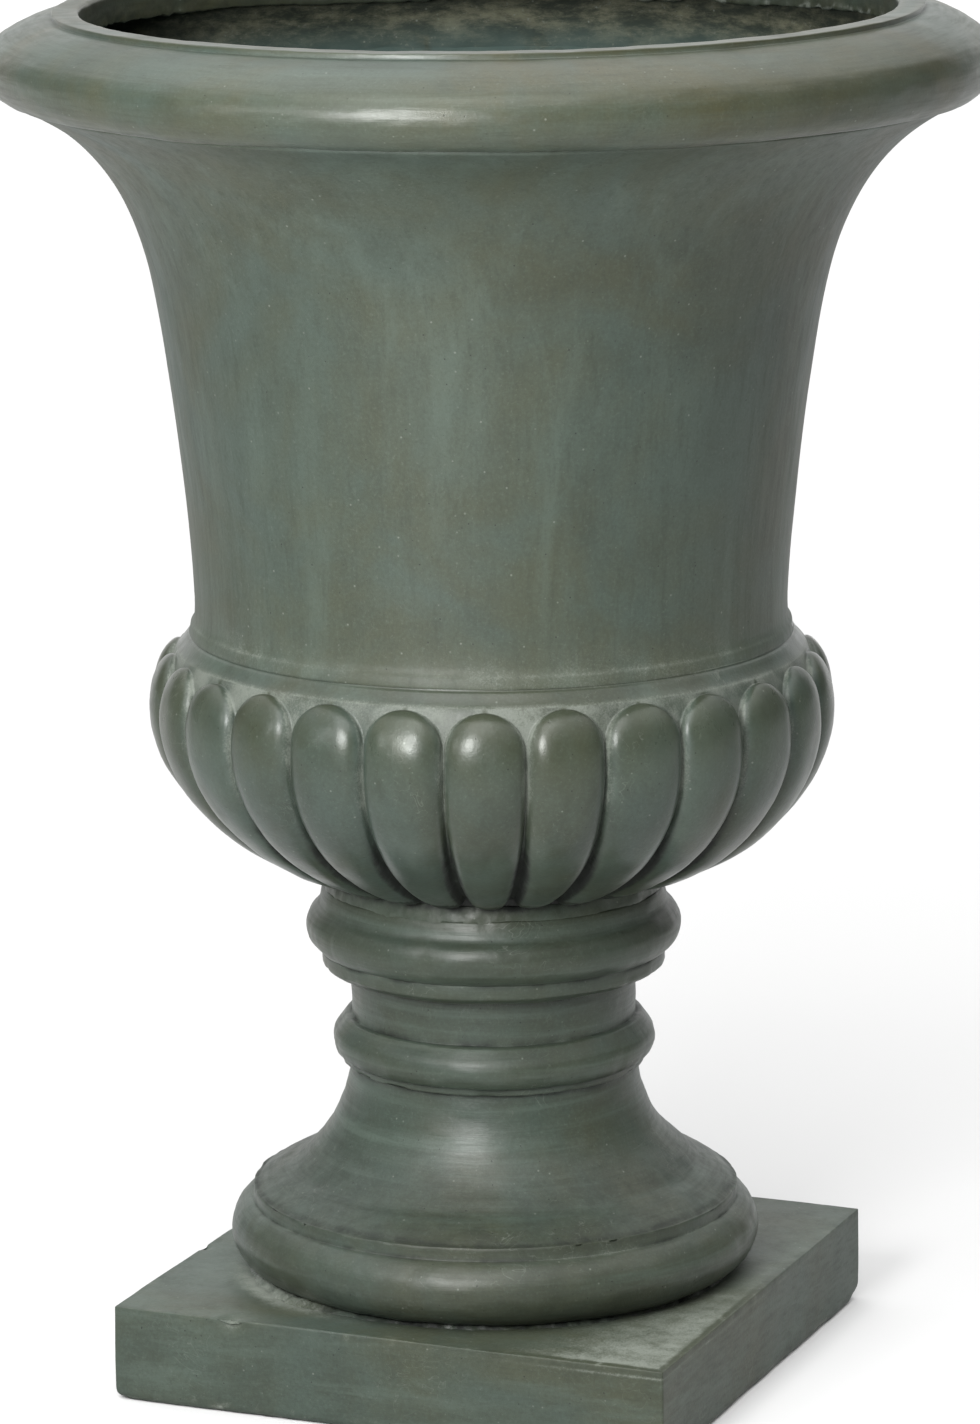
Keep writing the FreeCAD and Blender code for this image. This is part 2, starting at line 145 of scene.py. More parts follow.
@dataclass(frozen=True)
class Relief:
    """A random relief: its height, the size of its largest lumps, its seed and how many sizes it adds up."""

    height: float
    cell: float
    seed: int
    octaves: int = 1

    def over(self, points: Array) -> Array:
        """Smooth random field: lattice values blended across each cell with a fade, again at half the size.

        Args:
            points: Places, in metres, on the last axis.

        Returns:
            Heights of about minus to plus the relief's own, one for each place.
        """
        total = np.zeros(points.shape[:-1])
        for octave in range(self.octaves):
            scaled = points * (2.0**octave / self.cell)
            base = np.floor(scaled)
            part = scaled - base
            fade = part**3 * (part * (part * 6.0 - 15.0) + 10.0)
            for corner in np.ndindex(2, 2, 2):
                weight = np.prod(np.where(corner, fade, 1.0 - fade), axis=-1)
                total += weight * lattice_values(base + corner, self.seed + octave) / 2.0**octave
        return self.height * total

    def blotches(self, points: Array) -> Array:
        """Patches of 0 to 1, about a half on average."""
        return np.clip(0.5 + self.over(points), 0.0, 1.0)


@dataclass
class Profile:
    """Rows of a closed outline: radius, height, and how hollow or proud it is there, each 0 to 1."""

    radius: Array
    height: Array
    hollow: Array
    proud: Array

    def turned(self, columns: int) -> Array:
        """Grid of the outline carried round the axis.

        Args:
            columns: How many columns it has, at even angles.

        Returns:
            Rows by columns by three.
        """
        turn = FULL_TURN * np.arange(columns) / columns
        flat = np.stack([np.cos(turn), np.sin(turn), np.zeros(columns)], -1)
        return self.radius[:, None, None] * flat[None] + self.height[:, None, None] * UP

    def creases(self, columns: int) -> tuple[Array, Array]:
        """The hollow and the proud shares, laid over a grid of that many columns."""
        shape = (len(self.radius), columns)
        return np.broadcast_to(self.hollow[:, None], shape), np.broadcast_to(self.proud[:, None], shape)


class Outline:
    """Closed outline in the half plane of radius and height, drawn run by run with the solid on the left."""

    STEP = 0.0002
    ARC_STEPS = 96
    CURVE_STEPS = 192

    def __init__(self, radius: float, height: float) -> None:
        """Starts the outline at a corner."""
        self.runs: list[Array] = [np.array([[radius, height]])]

    def line(self, *corners: Point) -> "Outline":
        """Straight runs from corner to corner."""
        self.runs.append(np.array(corners, float))
        return self

    def arc(self, middle: Point, end: Point) -> "Outline":
        """Round run: the circle through the last point, a middle point and an end point, stepped by angle.

        Args:
            middle: A point on the way.
            end: Where the run ends.

        Returns:
            The outline itself.
        """
        corners = np.array([self.runs[-1][-1], middle, end], float)
        sides = 2.0 * (corners[1:] - corners[0])
        centre = np.linalg.solve(sides, (corners[1:] ** 2).sum(1) - (corners[0] ** 2).sum())
        reach = corners - centre
        first, half, last = np.arctan2(reach[:, 1], reach[:, 0])
        sweep = (last - first) % FULL_TURN
        if (half - first) % FULL_TURN > sweep:
            sweep -= FULL_TURN
        turn = first + sweep * np.arange(1, self.ARC_STEPS + 1) / self.ARC_STEPS
        self.runs.append(centre + np.hypot(*reach[0]) * np.stack([np.cos(turn), np.sin(turn)], -1))
        return self

    def curve(self, places: Array) -> "Outline":
        """Smooth run: the natural cubic spline over chord length through the last point and these places.

        Args:
            places: Radius and height of each place.

        Returns:
            The outline itself.
        """
        knots = np.vstack([self.runs[-1][-1], places])
        gaps = np.hypot(*np.diff(knots, axis=0).T)
        along = np.concatenate([[0.0], np.cumsum(gaps)])
        count = len(knots)
        matrix, right = np.eye(count), np.zeros((count, 2))
        inner = np.arange(1, count - 1)
        matrix[inner, inner - 1] = gaps[:-1]
        matrix[inner, inner] = 2.0 * (gaps[:-1] + gaps[1:])
        matrix[inner, inner + 1] = gaps[1:]
        right[1:-1] = 6.0 * np.diff(np.diff(knots, axis=0) / gaps[:, None], axis=0)
        second = np.linalg.solve(matrix, right)
        where = np.linspace(0.0, along[-1], self.CURVE_STEPS + 1)[1:]
        span = np.clip(np.searchsorted(along, where) - 1, 0, count - 2)
        gap = gaps[span][:, None]
        before = (along[span + 1] - where)[:, None] / gap
        after = 1 - before
        bend = (before**3 - before) * second[span] + (after**3 - after) * second[span + 1]
        self.runs.append(before * knots[span] + after * knots[span + 1] + bend * gap**2 / 6.0)
        return self

    def close(self, soft: float) -> "Ring":
        """Closes the outline and softens its corners with a running average.

        Args:
            soft: About the average's width.

        Returns:
            The softened outline.
        """
        corners = np.vstack([*self.runs, self.runs[0]])
        along = np.concatenate([[0.0], np.cumsum(np.hypot(*np.diff(corners, axis=0).T))])
        count = int(along[-1] / self.STEP)
        where = np.arange(count) * along[-1] / count
        points = np.stack([np.interp(where, along, axis) for axis in corners.T], -1)
        return Ring(points, along[-1] / count, soft)


class Ring:
    """A closed, softened outline as dense points, with its bends."""

    CREASE_REACH = 0.0024
    BEND_GAIN = 0.004
    HOLLOW_GAIN = 2.0
    PROUD_GAIN = 3.5

    def __init__(self, points: Array, step: float, soft: float) -> None:
        """Softens evenly spaced points and measures how sharply they turn.

        Args:
            points: The outline's points, before they are softened.
            step: Their spacing.
            soft: Width of the running average.
        """
        self.step = step
        self.points = self._softened(points, soft)
        self.bend = self._bend(self.points)
        self.crease = self._bend(self._softened(points, self.CREASE_REACH)) * self.CREASE_REACH

    def _softened(self, points: Array, width: float) -> Array:
        """Running average with bell-shaped weights, worked out on the closed outline's waves.

        Args:
            points: Evenly spaced points.
            width: Width of the weights.

        Returns:
            The softened points.
        """
        waves = np.fft.rfftfreq(len(points), self.step)
        keep = np.exp(-0.5 * (FULL_TURN * waves * width) ** 2)
        return np.fft.irfft(np.fft.rfft(points, axis=0) * keep[:, None], len(points), axis=0)

    @staticmethod
    def _bend(points: Array) -> Array:
        """How sharply the outline turns: the arc sine of its neighbours' cross product over their length.

        Args:
            points: The outline's points.

        Returns:
            Turn per metre at each point, positive where the outline is proud.
        """
        before, after = points - np.roll(points, 1, 0), np.roll(points, -1, 0) - points
        turn = before[:, 0] * after[:, 1] - before[:, 1] * after[:, 0]
        length = np.hypot(*before.T) * np.hypot(*after.T)
        return np.arcsin(np.clip(turn / length, -1, 1)) / np.sqrt(length)

    def nearest(self, place: Point) -> int:
        """Index of the dense point nearest to a place."""
        return int(np.argmin(((self.points - place) ** 2).sum(1)))

    def weight(self, focus: Focus) -> Array:
        """How closely rows should lie at each dense point: the focus, raised where the outline bends."""
        return focus(*self.points.T) * (1.0 + self.BEND_GAIN * np.abs(self.bend))

    def at(self, index: Array) -> tuple[Array, Array]:
        """Places on the outline, between its dense points.

        Args:
            index: Fractional indices, of any shape.

        Returns:
            Radius and height there.
        """
        dense = np.arange(len(self.points) + 1)
        around = np.vstack([self.points, self.points[:1]])
        return np.interp(index, dense, around[:, 0]), np.interp(index, dense, around[:, 1])

    def creases(self, index: Array) -> tuple[Array, Array]:
        """How hollow and how proud the outline is at fractional indices, each 0 to 1."""
        crease = np.interp(index, np.arange(len(self.crease)), self.crease)
        return np.clip(-self.HOLLOW_GAIN * crease, 0.0, 1.0), np.clip(self.PROUD_GAIN * crease, 0.0, 1.0)

    def profile(self, count: int, focus: Focus) -> Profile:
        """Rows of the outline, spaced by their weight and ready to be turned.

        Args:
            count: How many rows.
            focus: How closely they should lie, by radius and height.

        Returns:
            The rows.
        """
        total = np.concatenate([[0.0], np.cumsum(self.weight(focus))])
        index = np.interp(np.arange(count) * total[-1] / count, total, np.arange(len(total)))
        return Profile(*self.at(index), *self.creases(index))


def outward(points: Array) -> Array:
    """Outward unit normals of a grid that closes both ways, from the cross product of its neighbours.

    Args:
        points: Rows by columns by three.

    Returns:
        Normals of the same shape.
    """
    across = np.roll(points, -1, 1) - np.roll(points, 1, 1)
    along = np.roll(points, -1, 0) - np.roll(points, 1, 0)
    normal = np.cross(across, along)
    return normal / np.maximum(np.linalg.norm(normal, axis=-1, keepdims=True), TINY)


@dataclass(frozen=True)
class Chip:
    """A knocked place: its middle, how far it reaches, how deep it goes and how pale it is."""

    place: Triple
    reach: float
    depth: float
    pale: float = 0.0

    def dome(self, points: Array) -> Array:
        """One at the chip's middle, falling to zero at its reach as a squared dome."""
        distance = np.linalg.norm(points - np.array(self.place), axis=-1) / self.reach
        return np.clip(1.0 - distance**2, 0.0, 1.0) ** 2


@dataclass(frozen=True)
class Flank:
    """A level where one side is fuller or slimmer: the side's sign, how much, where and from what radius."""

    side: float
    amount: float
    level: float
    height: float
    radii: Point


@dataclass(frozen=True)
class HandMade:
    """Slow departures of the casting from its drawing: tilted mouth, leaning flare, flanks and waves."""

    azimuth: float = math.radians(22.15)
    tilt: float = 0.007
    tilt_levels: Point = (0.664, 0.694)
    lean: float = 0.0013
    lean_level: float = 0.632
    lean_height: float = 0.036
    flanks: tuple[Flank, ...] = (
        Flank(1.0, 0.0052, 0.268, 0.021, (0.088, 0.108)),
        Flank(1.0, 0.0038, 0.108, 0.009, (0.078, 0.095)),
        Flank(-1.0, -0.0020, 0.296, 0.024, (0.100, 0.125)),
    )
    waves: Relief = Relief(0.0003, 0.09, 5)

    @property
    def sideways(self) -> Array:
        """Level direction to which the mouth rises and the flare leans."""
        return np.array([math.cos(self.azimuth), math.sin(self.azimuth), 0.0])

    def settle(self, points: Array) -> Array:
        """Moves a grid: the mouth rises to one side, the flare leans to it, flanks swell, and all waves.

        Args:
            points: Places, in metres, on the last axis.

        Returns:
            The moved places.
        """
        across, height = points @ self.sideways, points[..., 2]
        radius = np.maximum(reach_of(points), TINY)
        outer = points * FLAT / radius[..., None]
        rise = self.tilt * across * smoothstep(height, *self.tilt_levels)
        shift = self.lean * hump(height - self.lean_level, self.lean_height)
        swell = self.waves.over(points)
        for flank in self.flanks:
            level = hump(height - flank.level, flank.height) * smoothstep(radius, *flank.radii)
            swell = swell + flank.amount * level * np.clip(flank.side * across / radius, 0.0, 1.0) ** 2
        return points + outer * swell[..., None] + self.sideways * shift[..., None] + UP * rise[..., None]


HAND = HandMade()


class Mark(Enum):
    """Names of the painted masks that a mesh carries for its finish."""

    DUST = "dust"
    # Rubbed bronze wear on proud places, and a painted dark reflection on the upper parts of the bowl's
    # lobes.
    RUB_AND_REFLECTION = "rub"
    # Dirt, and painted shade in creases, grooves, under overhangs and inside the mouth.
    GRIME_AND_SHADE = "grime"
    RAW = "raw"


Grid = tuple[Array, dict[Mark, Array]]


def skin(name: str, points: Array, marks: dict[Mark, Array]) -> bpy.types.Object:
    """Mesh of a grid that closes both ways; rows run along the outline and columns round the axis.

    Args:
        name: The piece's name.
        points: Rows by columns by three, in metres.
        marks: Masks of rows by columns.

    Returns:
        The new object, at the origin.
    """
    index = np.arange(points.shape[0] * points.shape[1]).reshape(points.shape[:2])
    right, above = np.roll(index, -1, 1), np.roll(index, -1, 0)
    quads = np.stack([index, right, np.roll(right, -1, 0), above], -1).reshape(-1, 4)
    mesh = bpy.data.meshes.new(name)
    mesh.from_pydata(points.reshape(-1, 3), [], quads)
    mesh.shade_smooth()
    for mark in Mark:
        value = np.broadcast_to(marks.get(mark, 0.0), points.shape[:2])
        layer = mesh.attributes.new(mark.value, "FLOAT", "POINT")
        layer.data.foreach_set("value", np.clip(value, 0.0, 1.0).astype(np.float32).ravel())
    piece = bpy.data.objects.new(name, mesh)
    bpy.context.scene.collection.objects.link(piece)
    return piece


class Wire:
    """A shader socket that can stand in a Python sum; each sum adds one Math node."""

    def __init__(self, nodes: "Nodes", socket: bpy.types.NodeSocket) -> None:
        """Holds a socket and the tree it belongs to."""
        self.nodes, self.socket = nodes, socket

    def _sum(self, operation: str, first: "Term", second: "Term") -> "Wire":
        """One Math node on two terms."""
        return self.nodes.node("ShaderNodeMath", {"operation": operation}, {0: first, 1: second})

    def __add__(self, other: "Term") -> "Wire":
        """Sum of two terms."""
        return self._sum("ADD", self, other)

    __radd__ = __add__

    def __sub__(self, other: "Term") -> "Wire":
        """This term less another."""
        return self._sum("SUBTRACT", self, other)

    def __rsub__(self, other: "Term") -> "Wire":
        """Another term less this one."""
        return self._sum("SUBTRACT", other, self)

    def __mul__(self, other: "Term") -> "Wire":
        """Product of two terms."""
        return self._sum("MULTIPLY", self, other)

    __rmul__ = __mul__

    def __abs__(self) -> "Wire":
        """Size of the term, without its sign."""
        return self.nodes.node("ShaderNodeMath", {"operation": "ABSOLUTE"}, {0: self})

    def rise(self, low: float, high: float, least: float = 0.0, most: float = 1.0) -> "Wire":
        """An S-shaped rise between two levels, which may be in either order.

        Args:
            low: Level at which the result is the least.
            high: Level at which it is the most.
            least: The least value.
            most: The most.

        Returns:
            The wire that carries the result.
        """
        inputs = {"Value": self, "From Min": low, "From Max": high, "To Min": least, "To Max": most}
        settings = {"interpolation_type": "SMOOTHSTEP", "clamp": True}
        return self.nodes.node("ShaderNodeMapRange", settings, inputs)


Term = Union[Wire, float]
Tone = Union[Wire, Colour]


@dataclass(frozen=True)
class Noise:
    """A cloudy noise: its scale, how many finer sizes it has, how strong they are, and its warp."""

    scale: float
    detail: float = 2.0
    rough: float = 0.5
    warp: float = 0.0


@dataclass(frozen=True)
class Dots:
    """Scattered round dots: how close they lie, where they end, and how few of the places carry one."""

    scale: float
    edge: Point
    chosen: Point


class Nodes:
    """Adds nodes to one tree."""

    def __init__(self, tree: bpy.types.NodeTree) -> None:
        """Empties the tree."""
        self.tree = tree
        self.tree.nodes.clear()

    def node(
        self, kind: str, settings: dict[str, Any], inputs: dict[Any, Any], output: int | str = 0
    ) -> Wire:
        """One node.

        Args:
            kind: The node's type.
            settings: Properties, which are set first.
            inputs: Socket names or numbers, with their values or the wires that feed them.
            output: The socket that the result holds.

        Returns:
            The wire from that socket, or from its first input where the node ends the tree.
        """
        made = self.tree.nodes.new(kind)
        for key, value in settings.items():
            setattr(made, key, value)
        for key, value in inputs.items():
            if isinstance(value, Wire):
                self.tree.links.new(value.socket, made.inputs[key])
            else:
                made.inputs[key].default_value = value
        return Wire(self, made.outputs[output] if made.outputs else made.inputs[0])

    def place(self, scale: Triple = (1.0, 1.0, 1.0)) -> Wire:
        """Object coordinates, drawn out by a scale for each axis."""
        own = self.node("ShaderNodeTexCoord", {}, {}, "Object")
        return self.node("ShaderNodeMapping", {}, {"Vector": own, "Scale": scale})

    def noise(self, place: Wire, noise: Noise) -> Wire:
        """Cloudy noise of 0 to 1, about a half on average."""
        sizes = {"Scale": noise.scale, "Detail": noise.detail, "Roughness": noise.rough}
        return self.node("ShaderNodeTexNoise", {}, {"Vector": place, **sizes, "Distortion": noise.warp})

    def dots(self, place: Wire, dots: Dots) -> Wire:
        """Dots round those points of a scattered net whose random colour is high.

        Args:
            place: The coordinates.
            dots: How close the dots lie and how large they are.

        Returns:
            One within a dot and zero elsewhere.
        """
        near = self.node("ShaderNodeTexVoronoi", {}, {"Vector": place, "Scale": dots.scale}, "Distance")
        drawn = Wire(self, near.socket.node.outputs["Color"])
        chosen = self.node("ShaderNodeSeparateColor", {}, {0: drawn}).rise(*dots.chosen)
        return (1.0 - near.rise(*dots.edge)) * chosen

    def mark(self, mark: Mark) -> Wire:
        """A mask that the mesh carries."""
        return self.node("ShaderNodeAttribute", {"attribute_name": mark.value}, {}, "Fac")

    def mix(self, share: Term, first: Tone, second: Tone) -> Wire:
        """The first colour where the share is zero and the second where it is one."""
        inputs = {0: share, 6: first, 7: second}
        return self.node("ShaderNodeMix", {"data_type": "RGBA", "clamp_factor": True}, inputs, 2)

    def bump(self, strength: float, distance: float, height: Wire) -> Wire:
        """Normal of a surface that is raised by a height."""
        inputs = {"Strength": strength, "Distance": distance, "Height": height}
        return self.node("ShaderNodeBump", {}, inputs, "Normal")

    def surface(self, **inputs: Union[Term, Colour]) -> None:
        """Ends the tree with a Principled surface.

        Args:
            **inputs: Its sockets, with _ for spaces, and what they hold.
        """
        named = {key.replace("_", " "): value for key, value in inputs.items()}
        shader = self.node("ShaderNodeBsdfPrincipled", {}, named)
        self.node("ShaderNodeOutputMaterial", {}, {"Surface": shader})


class Finish:
    """What a piece is covered with or made of; each finish has its own way to lay its nodes."""

    def lay(self, nodes: Nodes) -> None:
        """Fills an empty node tree."""
        raise NotImplementedError

    def material(self, name: str) -> bpy.types.Material:
        """Makes a material with the finish's nodes.

        Args:
            name: The material's name.

        Returns:
            The new material.
        """
        material = bpy.data.materials.new(name)
        material.use_nodes = True
        self.lay(Nodes(material.node_tree))
        return material


class Brush(Enum):
    """How the paint was brushed on: the noise's scale along x, y and z, small along the strokes."""

    UPRIGHT = (34.0, 34.0, 3.2)
    ROUND = (5.0, 5.0, 120.0)
    DABBED = (16.0, 16.0, 9.0)
    LEVEL = (13.0, 13.0, 75.0)


@dataclass(frozen=True)
class SatinPaint(Finish):
    """Satin grey-green paint, mottled teal and olive, dusty in its creases, rubbed bronze on proud places,
    and darkened with dirt and painted shade where a piece marks them.

    Colours come first, then how much of each the paint shows, then the noises that break it up.
    """

    brush: Brush
    teal: Colour = tint(53, 63, 56)
    olive: Colour = tint(53, 57, 44)
    deep: Colour = tint(38, 44, 36)
    pale: Colour = tint(69, 80, 72)
    dust: Colour = tint(110, 115, 107)
    # Colour of the rubbed wear, and of the painted dark reflection on the lobes' upper parts.
    bronze: Colour = tint(50, 49, 28)
    # Darkest colour: for pits, dark dirt and painted shade.
    soot_and_shade: Colour = tint(14, 18, 14)
    raw_light: Colour = tint(106, 106, 88)
    raw_dark: Colour = tint(42, 48, 40)
    raw_cool: Colour = tint(68, 84, 80)
    gloss: float = 0.33
    shine: float = 0.30
    patch_share: float = 0.35
    stroke_share: float = 0.45
    bristle_share: float = 0.35
    scratch_share: float = 0.08
    bump_strength: float = 0.16
    bump_depth: float = 0.0012
    cool_levels: Point = (0.674, 0.652)
    clouds: Noise = Noise(9.0, 4.0, 0.6, 0.6)
    patches: Noise = Noise(27.9, 5.0, 0.65, 0.3)
    strokes: Noise = Noise(1.0, 5.0, 0.62, 0.4)
    bristles: Noise = Noise(5.5, 4.0, 0.7, 0.2)
    specks: Noise = Noise(520.0, 2.0, 0.6)
    breaks: Noise = Noise(95.0, 5.0, 0.72, 0.3)
    hairs: Noise = Noise(34.0, 3.0, 0.6, 1.5)
    hair_fields: Noise = Noise(21.0)
    powder: Noise = Noise(560.0, 3.0, 0.75)
    siftings: Noise = Noise(1000.0, 3.0, 0.8)
    fibres: Noise = Noise(1.0, 8.0, 0.78, 0.1)
    fibre_draw: Triple = (38.0, 38.0, 110.0)
    damp: Noise = Noise(24.0, 4.0, 0.6, 0.5)
    crumbs: Dots = Dots(210.0, (0.05, 0.16), (0.80, 0.92))
    pits: Dots = Dots(330.0, (0.08, 0.18), (0.92, 0.95))

    def lay(self, nodes: Nodes) -> None:
        """Coats in order: mottled paint, rubbed bronze wear with a painted dark reflection, dust, grit, dark
        dirt with painted shade, and the bare wall where it is raw.

        Args:
            nodes: The material's empty tree.
        """
        plain, drawn = nodes.place(), nodes.place(self.brush.value)
        dust, rub, grime, raw = map(nodes.mark, (Mark.DUST, Mark.RUB_AND_REFLECTION, Mark.GRIME_AND_SHADE, Mark.RAW))
        stroke, bristle = nodes.noise(drawn, self.strokes), nodes.noise(drawn, self.bristles)
        powder, speck = nodes.noise(plain, self.powder), nodes.noise(plain, self.specks)
        broken = nodes.noise(plain, self.breaks)
        crumb, pit = nodes.dots(plain, self.crumbs), nodes.dots(plain, self.pits)

        cloud = nodes.noise(plain, self.clouds).rise(0.36, 0.66)
        patch = nodes.noise(plain, self.patches).rise(0.42, 0.72)
        colour = nodes.mix(cloud, self.teal, self.olive)
        colour = nodes.mix(patch * self.patch_share, colour, self.deep)
        colour = nodes.mix(stroke.rise(0.45, 0.75) * self.stroke_share, colour, self.pale)
        colour = nodes.mix(bristle.rise(0.48, 0.75) * self.bristle_share, colour, self.deep)
        colour = nodes.mix(powder.rise(0.48, 0.72) * 0.22, colour, self.pale)
        colour = nodes.mix(powder.rise(0.52, 0.28) * 0.3, colour, self.deep)
        colour = nodes.mix(pit * 0.75, colour, self.soot_and_shade)

        # Rubbed wear, which on the lobes' upper parts is also a painted dark reflection.
        worn_and_reflecting = rub * (0.35 + stroke.rise(0.35, 0.65) * 0.65)
        colour = nodes.mix(worn_and_reflecting * 0.7, colour, self.bronze)

        sifted = (nodes.noise(plain, self.siftings) - 0.5) * dust.rise(0.0, 0.25) * 1.1
        speckled = (dust * (0.6 + broken.rise(0.3, 0.68) * 0.5) + sifted).rise(0.15, 1.0)
        dusty = speckled * 0.75 + dust * 0.15
        colour = nodes.mix(dusty, colour, self.dust)

        hair = abs(nodes.noise(plain, self.hairs) - 0.5)
        scratch = (1.0 - hair.rise(0.0, 0.006)) * nodes.noise(plain, self.hair_fields).rise(0.5, 0.66)
        grit = speck.rise(0.62, 0.75) * (0.1 + dusty * 0.5) + crumb * 0.45 + scratch * self.scratch_share
        colour = nodes.mix(grit, colour, self.dust)

        # Dirt and painted shade, darkening towards the darkest colour.
        dirt_and_shade = (grime * (0.55 + broken.rise(0.25, 0.7) * 0.6)).rise(0.05, 0.9)
        colour = nodes.mix(dirt_and_shade, colour, self.soot_and_shade)

        fibre = nodes.noise(nodes.place(self.fibre_draw), self.fibres)
        low = nodes.node("ShaderNodeSeparateXYZ", {}, {0: plain}, "Z").rise(*self.cool_levels)
        wall = nodes.mix(fibre.rise(0.38, 0.7), self.raw_dark, self.raw_light)
        wall = nodes.mix(low * nodes.noise(plain, self.damp).rise(0.25, 0.5) * 0.85, wall, self.raw_cool)
        wall = nodes.mix(speck.rise(0.58, 0.72) * fibre.rise(0.45, 0.65) * 0.8 + crumb, wall, self.dust)
        # On the raw wall the mask is painted shadow under the skirt.
        colour = nodes.mix(raw, colour, nodes.mix(grime * 0.97, wall, self.soot_and_shade))

        rough = self.gloss + dusty * 0.28 + dirt_and_shade * 0.3 + bristle.rise(0.3, 0.8) * 0.1
        rough = rough - worn_and_reflecting * 0.06 + raw * 0.45
        brushed = bristle * 0.5 + stroke * 0.4 + speck * 0.3 + powder * 0.2
        height = brushed + dusty * broken * 0.6 - pit * 0.9 + fibre * raw
        nodes.surface(
            Base_Color=colour,
            Roughness=rough,
            Metallic=worn_and_reflecting * 0.25,
            Specular_IOR_Level=self.shine,
            Normal=nodes.bump(self.bump_strength, self.bump_depth, height),
        )


@dataclass(frozen=True)
class PlainStuff(Finish):
    """A single matter with a mottled colour and a fine grain: bedding paste, zinc or rubber."""

    light: Colour
    dark: Colour
    grain_scale: float
    rough: float
    metal: float = 0.0
    lumps: float = 0.2
    lump_depth: float = 0.001

    def lay(self, nodes: Nodes) -> None:
        """Two sizes of mottling, a rougher grain in the dark patches and a bump.

        Args:
            nodes: The material's empty tree.
        """
        plain = nodes.place()
        mottle = nodes.noise(plain, Noise(self.grain_scale, 5.0, 0.65, 0.4))
        grit = nodes.noise(plain, Noise(6.0 * self.grain_scale, 3.0, 0.6))
        nodes.surface(
            Base_Color=nodes.mix(mottle.rise(0.3, 0.7), self.dark, self.light),
            Roughness=self.rough + grit.rise(0.35, 0.75) * 0.15,
            Metallic=self.metal,
            Normal=nodes.bump(self.lumps, self.lump_depth, mottle * 0.6 + grit * 0.4),
        )


@dataclass
class Moulding:
    """A cast and painted piece of the urn's body, which stands for one node of the frame."""

    node: str
    finish: SatinPaint
    slot: str = "painted_moulding"

    def __post_init__(self) -> None:
        """Reads the node's box: its reach from the axis, its foot and its head."""
        low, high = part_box(self.node)
        self.reach, self.foot, self.head = high.x, low.z, high.z

    def grid(self) -> Grid:
        """The piece's points and masks; each moulding has its own."""
        raise NotImplementedError

    def build(self) -> bpy.types.Object:
        """Makes the mesh and dresses it.

        Returns:
            The piece, riding on the urn in its node's place.
        """
        points, marks = self.grid()
        piece = skin(f"{self.node}_casting", HAND.settle(points), marks)
        return self.dress(piece)

    def dress(self, piece: bpy.types.Object) -> bpy.types.Object:
        """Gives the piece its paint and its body.

        Args:
            piece: The bare piece.

        Returns:
            The same piece.
        """
        piece.data.materials.append(self.finish.material(f"paint_{self.node}"))
        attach(piece, "urn")
        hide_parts(self.node)
        return piece


CRUST_AZIMUTH = math.radians(-132.0)
CRUST_SPREAD = 0.3


